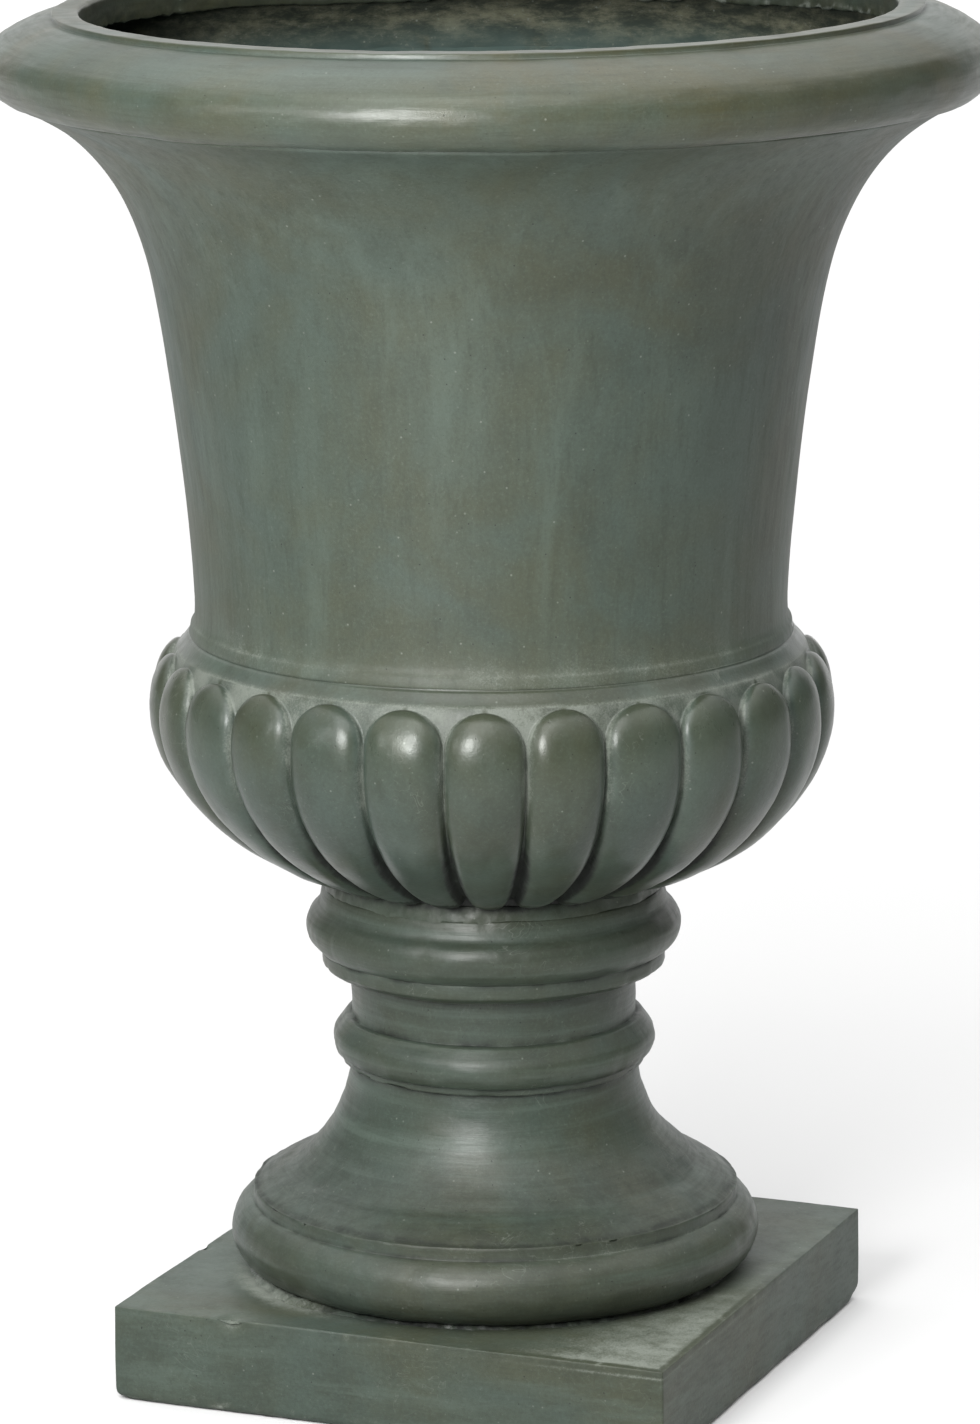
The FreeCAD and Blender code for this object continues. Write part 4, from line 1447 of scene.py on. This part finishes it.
@dataclass
class Bell(Moulding):
    """Flared wall: a swept outline with a lip, a crest at its foot, and a rough hand-laid inside."""

    wall: float = 0.009
    spigot_wall: float = 0.0046
    radius: float = 0.1501
    base: float = 0.38868
    lip_height: float = 0.009
    lip_land: float = 0.008
    flange: Point = (0.1540, 0.3834)
    crest: Point = (0.1515, 0.3880)
    crest_round: float = 0.0018
    crest_turns: Triple = (0.0, math.radians(32.0), math.radians(65.0))
    cove: tuple[Point, ...] = ((0.1515, 0.3908), (0.1511, 0.3935), (0.1509, 0.3980), (0.1510, 0.4040))
    height_shares: tuple[float, ...] = (0.0, 0.2, 0.4, 0.6, 0.75, 0.85, 0.925, 0.97, 1.0)
    flare_shares: tuple[float, ...] = (0.0, 0.036, 0.107, 0.197, 0.312, 0.46, 0.65, 0.834, 1.0)
    soft: float = 0.0003
    columns: int = 496
    row_count: int = 192
    waves: Relief = Relief(0.00035, 0.05, 31, 2)
    coarse_lumps: Relief = Relief(0.0016, 0.022, 32, 3)
    fine_lumps: Relief = Relief(0.0007, 0.006, 33, 2)
    lump_room: Point = (0.02, 0.01)
    fringe: Relief = Relief(0.5, 0.03, 34, 3)
    foot_dust: Point = (0.4, 0.028)
    # A pale line along the crest: dust and a painted highlight.
    crest_dust_and_highlight: Point = (0.6, 0.0012)
    shade: Point = (0.22, 0.03)

    def outline(self) -> Outline:
        """From the spigot's foot to the flange, over the crest, up the flare and down inside.

        Returns:
            The outline, not closed yet.
        """
        top = self.head - self.lip_height
        out = self.radius + (self.reach - self.radius) * np.array(self.flare_shares)
        outer = np.stack([out, self.base + (top - self.base) * np.array(self.height_shares)], -1)
        slope = np.gradient(outer, axis=0)
        slope /= np.hypot(*slope.T)[:, None]
        inner = (outer + self.wall * np.stack([-slope[:, 1], slope[:, 0]], -1))[:-1]
        spigot = self.radius - self.wall
        inner[0] = (spigot, self.base)
        outline = Outline(spigot, self.foot).line((spigot + self.spigot_wall, self.foot))
        outline.line((spigot + self.spigot_wall, self.flange[1]), self.flange)
        turn = np.array(self.crest_turns)
        crest = np.array(self.crest) + self.crest_round * np.stack([np.cos(turn), np.sin(turn)], -1)
        outline.line(tuple(crest[0])).arc(tuple(crest[1]), tuple(crest[2]))
        outline.curve(np.vstack([self.cove, outer[1:]]))
        outline.line((self.reach, self.head), (self.reach - self.lip_land, self.head), tuple(inner[-1]))
        return outline.curve(inner[-2::-1])

    def grid(self) -> Grid:
        """The outline turned round the axis; the inside is raised with coarse and fine lumps of fibre.

        Returns:
            Its points and masks.
        """
        top = self.head - self.lip_height
        points = self.outline().close(self.soft).profile(self.row_count, self.focus).turned(self.columns)
        normal = outward(points)
        inside = smoothstep((normal * points * FLAT).sum(-1), 0.0, -0.02)
        spigot_face = (points[..., 2] < self.base) & (reach_of(points) < self.radius - 0.001)
        inside = np.maximum(inside, spigot_face.astype(float))
        lumps = self.coarse_lumps.over(points) + self.fine_lumps.over(points)
        lumps = lumps * smoothstep(points[..., 2] - self.base, 0.0, self.lump_room[0])
        lumps = lumps * smoothstep(top - points[..., 2], 0.0, self.lump_room[1])
        points = points + normal * (self.waves.over(points) * (1.0 - inside) + lumps * inside)[..., None]
        level, outside = points[..., 2], 1.0 - inside
        foot_dust = self.foot_dust[0] * smoothstep(level - self.base, self.foot_dust[1], 0.0)
        # Pale line along the crest: dust and a painted highlight.
        line = self.crest_dust_and_highlight[0] * hump(level - self.crest[1] - self.crest_round, self.crest_dust_and_highlight[1])
        return points, {
            Mark.DUST: np.maximum(foot_dust, line) * outside * (0.5 + self.fringe.over(points)),
            # Painted shade on the bell's top, under the rim's roll.
            Mark.GRIME_AND_SHADE: self.shade[0] * smoothstep(level - top, -self.shade[1], 0.0) * outside,
            Mark.RAW: inside,
        }

    def focus(self, radius: Array, height: Array) -> Array:
        """Rows lie evenly on both faces and closer at the flare."""
        return 1.0 + 0.6 * smoothstep(height, self.head - 0.06, self.head)


@dataclass
class Rim(Moulding):
    """Hollow roll: rounded lip, sloping crown, grooved flat band and a skirt with a ragged lower edge."""

    mouth: float = 0.2038
    lip_radius: float = 0.2364
    lip_set_in: float = 0.0100
    land: float = 0.0074
    wall: float = 0.0065
    widest: float = 0.34
    shoulder: Point = (0.0042, 0.64)
    crown: Point = (0.0136, 0.785)
    band_width: float = 0.0136
    groove: Point = (0.0032, 0.0030)
    edge_round: float = 0.0020
    skirt_drop: float = 0.0172
    skirt_wave: float = 0.0022
    skirt_wall: float = 0.005
    crown_wall: float = 0.0085
    paste: float = 0.007
    soft: float = 0.0006
    columns: int = 700
    row_count: int = 138
    ring_draw: Triple = (0.25, 0.25, 1.0)
    torn_slow: Relief = Relief(0.0007, 0.08, 51, 3)
    torn_fine: Relief = Relief(0.0004, 0.004, 52, 2)
    tool_rings: Relief = Relief(0.00018, 0.004, 53, 3)
    waves: Relief = Relief(0.00035, 0.06, 54, 2)
    skirt_lumps: Relief = Relief(0.0006, 0.006, 55, 2)
    crumbs: Relief = Relief(1.0, 0.004, 56, 2)
    streak: Point = (0.016, 0.0035)

    def outline(self) -> Outline:
        """From the lip's inner edge out, over the crown and band, down the skirt and back inside.

        Returns:
            The outline, not closed yet.
        """
        tall = self.head - self.foot
        shoulder = (self.reach - self.shoulder[0], self.foot + self.shoulder[1] * tall)
        crown = (self.reach - self.crown[0], self.foot + self.crown[1] * tall)
        widest = (self.reach, self.foot + self.widest * tall)
        band = self.mouth + self.band_width
        groove_foot = (band + self.groove[0], self.head - self.groove[1])
        roof = self.head - self.crown_wall
        skirt_foot, skirt_back = self.head - self.skirt_drop, self.mouth + self.skirt_wall
        round_in = self.edge_round * (1.0 - EIGHTH)
        outline = Outline(self.lip_radius, self.foot + self.land).line((self.lip_radius, self.foot))
        outline.line((self.reach - self.lip_set_in, self.foot)).arc(widest, shoulder).arc(crown, groove_foot)
        outline.line((band, groove_foot[1]), (band, self.head), (self.mouth + self.edge_round, self.head))
        outline.arc((self.mouth + round_in, self.head - round_in), (self.mouth, self.head - self.edge_round))
        outline.line((self.mouth, skirt_foot), (skirt_back, skirt_foot), (skirt_back, roof), (band, roof))
        outline.line((shoulder[0] - self.wall, shoulder[1] - self.wall), (self.reach - self.wall, widest[1]))
        return outline.line((self.lip_radius + self.paste, self.foot + self.land))

    def focus(self, radius: Array, height: Array) -> Array:
        """Rows lie closest on the roll, the band and the skirt's face.

        Args:
            radius: Radius of each place on the outline.
            height: Its height.

        Returns:
            How closely rows should lie there.
        """
        hidden = (radius > self.mouth + 0.5 * self.skirt_wall) & (height < self.head - 0.6 * self.crown_wall)
        roll = radius > self.reach - 0.5 * self.wall - 0.35 * (self.head - height)
        return np.where(hidden & ~roll, 0.2, 1.0)

    def grid(self) -> Grid:
        """The outline turned round the axis; the skirt's lower edge is torn by a random height.

        Returns:
            Its points and masks.
        """
        rows = self.outline().close(self.soft).profile(self.row_count, self.focus)
        points = rows.turned(self.columns)
        hollow, proud = rows.creases(self.columns)
        skirt = smoothstep(points[..., 2] - self.head, -0.35 * self.skirt_drop, -self.skirt_drop)
        skirt = skirt * (reach_of(points) < self.mouth + self.skirt_wall + 0.0012)
        turn = np.arctan2(points[..., 1], points[..., 0]) - HAND.azimuth - QUARTER_TURN
        torn = self.torn_slow.over(points * FLAT) + self.torn_fine.over(points * FLAT)
        torn = torn - self.skirt_wave * np.cos(2.0 * turn)
        waves = self.tool_rings.over(points * np.array(self.ring_draw)) + self.waves.over(points)
        lumps = skirt * self.skirt_lumps.over(points)
        points = points + outward(points) * (waves + lumps)[..., None]
        points[..., 2] += skirt * torn
        return points, self.marks(points, hollow, proud, skirt * proud * smoothstep(np.sin(turn), 0.3, -0.5))

    def marks(self, points: Array, hollow: Array, proud: Array, torn_edge: Array) -> dict[Mark, Array]:
        """Crumbs on the torn edge, rubbed wear on proud places and in one streak, and painted shade in
        creases, under the lip, inside the skirt and at one end of the roll.

        Args:
            points: The rim's grid.
            hollow: How hollow the outline is over the grid.
            proud: How proud it is.
            torn_edge: One on the far part of the skirt's lower edge.

        Returns:
            The masks.
        """
        level, across = points[..., 2] - self.head, points @ HAND.sideways
        inside = (reach_of(points) < self.mouth + 0.0015) & (level < -self.edge_round)
        crumbs = torn_edge * np.clip(self.crumbs.over(points) + 0.4, 0.0, 1.0)
        streak = hump(level + self.streak[0], self.streak[1]) * smoothstep(across, 0.04, 0.09)
        # Painted shade on the lower roll at the end towards which the mouth rises.
        end = smoothstep(across, 0.19, 0.25) * smoothstep(level, -0.008, -0.014)
        # The lip's lowest band, painted in shade and kept free of rubbed wear.
        lip = smoothstep(points[..., 2] - self.foot, 0.004, 0.001)
        return {
            Mark.DUST: np.maximum(0.12 * hollow, crumbs),
            Mark.RUB_AND_REFLECTION: np.maximum(0.6 * proud * (1.0 - lip), 0.9 * streak * ~inside),
            Mark.GRIME_AND_SHADE: np.maximum.reduce([0.25 * hollow, 0.4 * inside, 0.22 * end, 0.3 * lip]),
        }


@dataclass
class Bedding(Moulding):
    """Squeezed-out bedding round a joint: a lumpy outline carried round the axis, wider to one side."""

    corners: tuple[Point, ...] = ()
    swell: float = 0.0
    recess: float = 0.0
    recess_levels: Point = (0.660, 0.668)
    aside: float = 0.0
    spread: float = 0.35
    wander: Relief = Relief(0.4, 0.02, 61, 3)
    lumps: Relief = Relief(0.0008, 0.008, 62, 4)
    blotches: Relief = Relief(0.8, 0.005, 63, 2)
    dust: float = 0.0
    crust: float = 0.0
    grime: float = 0.0
    grime_and_shade_levels: Point = (0.0, 0.001)
    raw: float = 0.0
    void_shadow: float = 0.0
    void_shadow_levels: Point = (0.673, 0.684)
    void_shadow_share: float = 0.65
    soft: float = 0.0005
    columns: int = 720
    row_count: int = 40
    slot: str = "bedding"

    def focus(self, radius: Array, height: Array) -> Array:
        """Rows lie evenly."""
        return np.ones_like(radius)

    def grid(self) -> Grid:
        """The outline turned round the axis; near one azimuth its outer side moves out, or its inner back.

        Returns:
            Its points and masks.
        """
        ring = Outline(*self.corners[0]).line(*self.corners[1:]).close(self.soft)
        points = ring.profile(self.row_count, self.focus).turned(self.columns)
        radius = reach_of(points)
        outer = points * FLAT / radius[..., None]
        near = beside(points, self.aside, self.spread)
        share = (radius - radius.min()) / np.ptp(radius)
        wander = 1.0 + self.wander.over(outer * radius.mean())
        back = self.recess * (1.0 - share) * smoothstep(points[..., 2], *self.recess_levels)
        points = points + outer * (near * wander * (self.swell * share + back))[..., None]
        points = points + outward(points) * self.lumps.over(points)[..., None]
        blotch = self.blotches.blotches(points)
        # Darker above a level, away from the wide side: painted shade under the lobes on the neck bed.
        # Painted shadow in the recess and along the top under the skirt, where a bed asks for it.
        inner = smoothstep(points[..., 2], *self.grime_and_shade_levels) * (1.0 - near) * (0.5 + 0.5 * blotch)
        dark = np.maximum(near, self.void_shadow_share * smoothstep(points[..., 2], *self.void_shadow_levels))
        return points, {
            Mark.DUST: self.dust * blotch + self.crust * near,
            Mark.GRIME_AND_SHADE: np.maximum(self.grime * inner, self.void_shadow * dark),
            Mark.RAW: np.full(points.shape[:2], self.raw),
        }


@dataclass
class NeckBed(Bedding):
    """Smooth fillet between foot and bowl, darkened with dirt and painted shade just under the lobes."""

    corners: tuple[Point, ...] = (
        (0.074, 0.2480),
        (0.0874, 0.2480),
        (0.0870, 0.2510),
        (0.0862, 0.2540),
        (0.0854, 0.2580),
        (0.074, 0.2580),
    )
    lumps: Relief = Relief(0.0003, 0.006, 62, 4)
    dust: float = 0.2
    grime: float = 0.95
    grime_and_shade_levels: Point = (0.2530, 0.2565)


@dataclass
class PlinthBed(Bedding):
    """Thin line between plinth and foot, dark along its length, which spreads into a pale crust at one side.
    """

    corners: tuple[Point, ...] = (
        (0.1130, 0.0470),
        (0.1255, 0.0490),
        (0.1242, 0.0502),
        (0.1228, 0.0522),
        (0.1130, 0.0522),
    )
    swell: float = 0.007
    aside: float = CRUST_AZIMUTH
    spread: float = 0.26
    lumps: Relief = Relief(0.0006, 0.004, 62, 4)
    crust: float = 0.8
    grime: float = 0.8
    columns: int = 1000


@dataclass
class RimBed(Bedding):
    """Raw paste that fills the roll behind the skirt, apart from a hollow at one side, with painted shadow in
    that hollow and along its top under the skirt.
    """

    corners: tuple[Point, ...] = (
        (0.2165, 0.6490),
        (0.2270, 0.6650),
        (0.2400, 0.6680),
        (0.2390, 0.6850),
        (0.2200, 0.6905),
        (0.2128, 0.6905),
    )
    recess: float = 0.014
    aside: float = math.radians(177.0)
    spread: float = 0.24
    lumps: Relief = Relief(0.0014, 0.022, 62, 4)
    raw: float = 1.0
    void_shadow: float = 1.0


@dataclass(frozen=True)
class Fittings:
    """Nodes of the frame that keep their own mesh and are of one plain matter."""

    matter: str
    finish: PlainStuff
    nodes: tuple[str, ...]

    def dress(self, frame: dict[str, Any]) -> None:
        """Puts one new material on each node's mesh.

        Args:
            frame: What the frame's load gave.
        """
        material = self.finish.material(self.matter)
        for name in self.nodes:
            mesh = frame["nodes"][name].data
            mesh.materials.clear()
            mesh.materials.append(material)
            LOG.info("%s keeps its own mesh, dressed in %s", name, material.name)


@dataclass(frozen=True)
class Viewpoint:
    """The photograph's camera: its place round the axis, its tilt and roll, its lens and its sensor in mm."""

    azimuth: float = math.radians(22.15)
    distance: float = 3.1901
    height: float = 1.0395
    pitch: float = math.radians(12.386)
    roll: float = math.radians(-0.355)
    lens: float = 161.77
    sensor: float = 36.0
    shift: float = -2.0 / 1424.0

    def build(self) -> bpy.types.Object:
        """Makes the camera and sets it as the scene's.

        Returns:
            The camera.
        """
        data = bpy.data.cameras.new("viewpoint")
        data.lens, data.sensor_width, data.shift_x = self.lens, self.sensor, self.shift
        camera = bpy.data.objects.new("viewpoint", data)
        level = Euler((QUARTER_TURN - self.pitch, 0.0, self.azimuth)).to_matrix()
        camera.matrix_world = (level @ Matrix.Rotation(self.roll, 3, "Z")).to_4x4()
        across, ahead = self.distance * math.sin(self.azimuth), self.distance * math.cos(self.azimuth)
        camera.location = (across, -ahead, self.height)
        bpy.context.scene.collection.objects.link(camera)
        bpy.context.scene.camera = camera
        return camera


@dataclass(frozen=True)
class SoftBox:
    """A rectangular studio light that looks at the urn's axis."""

    name: str
    azimuth: float
    distance: float
    height: float
    size: Point
    power: float
    target: float = 0.4

    def build(self) -> bpy.types.Object:
        """Hangs the light at its azimuth, in degrees from the plinth's front, and turns it to the axis.

        Returns:
            The light.
        """
        data = bpy.data.lights.new(self.name, "AREA")
        data.shape = "RECTANGLE"
        data.size, data.size_y = self.size
        data.energy = self.power
        lamp = bpy.data.objects.new(self.name, data)
        turn = math.radians(self.azimuth)
        lamp.location = (self.distance * math.sin(turn), -self.distance * math.cos(turn), self.height)
        aim = Vector((0.0, 0.0, self.target)) - lamp.location
        lamp.rotation_euler = aim.to_track_quat("-Z", "Y").to_euler()
        bpy.context.scene.collection.objects.link(lamp)
        return lamp


@dataclass(frozen=True)
class FlatPaint(Finish):
    """One even colour, for the studio's floor."""

    colour: Colour = (0.5, 0.5, 0.5, 1.0)
    rough: float = 0.9

    def lay(self, nodes: Nodes) -> None:
        """A plain surface."""
        nodes.surface(Base_Color=self.colour, Roughness=self.rough)


@dataclass(frozen=True)
class Studio:
    """Plain floor, a white room that is brighter overhead, and soft boxes."""

    floor_size: float = 40.0
    floor_paint: FlatPaint = FlatPaint()
    sky: Point = (0.15, 2.9)
    sky_levels: Point = (0.3, 0.95)
    boxes: tuple[SoftBox, ...] = (
        SoftBox("key_box", 2.0, 1.18, 0.76, (0.30, 0.38), 18.0, 0.45),
        SoftBox("side_box", -28.0, 1.25, 0.78, (0.26, 0.36), 2.5, 0.45),
        SoftBox("front_top", 8.0, 1.7, 2.5, (1.8, 1.4), 34.0, 0.3),
        SoftBox("left_wall", -75.0, 2.4, 1.1, (1.4, 1.8), 2.0),
        SoftBox("back_wall", 202.0, 7.5, 2.0, (12.0, 4.0), 150.0, 1.0),
    )

    def build(self) -> None:
        """Makes the floor, the sky and the lights."""
        self.floor()
        self.surroundings()
        for box in self.boxes:
            box.build()

    def floor(self) -> None:
        """A square floor through the origin."""
        half = 0.5 * self.floor_size
        corners = [(-half, -half, 0.0), (half, -half, 0.0), (half, half, 0.0), (-half, half, 0.0)]
        mesh = bpy.data.meshes.new("studio_floor")
        mesh.from_pydata(corners, [], [(0, 1, 2, 3)])
        mesh.materials.append(self.floor_paint.material("studio_floor"))
        floor = bpy.data.objects.new("studio_floor", mesh)
        bpy.context.scene.collection.objects.link(floor)

    def surroundings(self) -> None:
        """White light all round, whose strength climbs with the height of its direction."""
        world = bpy.data.worlds.new("white_room")
        world.use_nodes = True
        nodes = Nodes(world.node_tree)
        direction = nodes.node("ShaderNodeTexCoord", {}, {}, "Generated")
        climb = nodes.node("ShaderNodeSeparateXYZ", {}, {"Vector": direction}, "Z")
        strength = climb.rise(*self.sky_levels, *self.sky)
        light = {"Color": (1.0, 1.0, 1.0, 1.0), "Strength": strength}
        background = nodes.node("ShaderNodeBackground", {}, light)
        nodes.node("ShaderNodeOutputWorld", {}, {"Surface": background})
        bpy.context.scene.world = world


def corners(box: tuple[Vector, Vector]) -> list[list[float]]:
    """A box's two corners as plain lists."""
    return [list(map(float, corner)) for corner in box]


def castings() -> list[Moulding]:
    """The urn's painted pieces, from the floor up, then the bedding of its joints.

    Returns:
        The pieces, ready to be built.
    """
    green = {"teal": tint(50, 60, 53), "olive": tint(50, 54, 42)}
    cool_green = {**green, "teal": tint(50, 60, 54)}
    level = SatinPaint(Brush.LEVEL, gloss=0.46, scratch_share=0.2, patch_share=0.5, stroke_share=0.55)
    turned = SatinPaint(
        Brush.ROUND, **green, gloss=0.375, scratch_share=0.3, patch_share=0.55, stroke_share=0.6
    )
    lobed = SatinPaint(
        Brush.DABBED, **cool_green, gloss=0.29, scratch_share=0.22, patch_share=0.5, stroke_share=0.6
    )
    rolled = SatinPaint(Brush.ROUND, olive=tint(57, 57, 40), gloss=0.345, shine=0.34, patch_share=0.5)
    dabbed = SatinPaint(Brush.DABBED)
    return [
        Plinth("plinth", level),
        Pedestal("pedestal", turned),
        Bowl("bowl", lobed),
        Bell("bell", SatinPaint(Brush.UPRIGHT, gloss=0.48)),
        Rim("rim", rolled),
        NeckBed("neck_bed", dabbed),
        PlinthBed("plinth_bed", dabbed),
        RimBed("rim_bed", dabbed),
    ]


def fittings() -> list[Fittings]:
    """The hidden joint's paste, the tie tube's metal and the rubber of its seal and plug.

    Returns:
        The groups, ready to be dressed.
    """
    paste = PlainStuff(tint(92, 94, 82), tint(38, 40, 34), 160.0, 0.85, lumps=0.6)
    zinc = PlainStuff(tint(176, 178, 178), tint(120, 123, 124), 70.0, 0.42, metal=1.0)
    rubber = PlainStuff(tint(46, 46, 45), tint(30, 30, 30), 220.0, 0.62)
    return [
        Fittings("bedding_paste", paste, ("bell_bed",)),
        Fittings("zinc", zinc, ("drain_tube", "foot_washer", "foot_nut")),
        Fittings("plug_rubber", rubber, ("floor_seal", "drain_plug")),
    ]


def main() -> None:
    """Builds the urn's pieces in order, dresses the frame's own nodes, and sets the studio and the camera."""
    logging.basicConfig(level=logging.INFO, format="%(name)s: %(message)s")
    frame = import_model()
    for casting in castings():
        piece = casting.build()
        LOG.info("%s: %d faces", piece.name, len(piece.data.polygons))
    for kind in fittings():
        kind.dress(frame)
    Studio().build()
    Viewpoint().build()
    bpy.context.scene.view_settings.view_transform = "Standard"


if __name__ == "__main__":
    main()
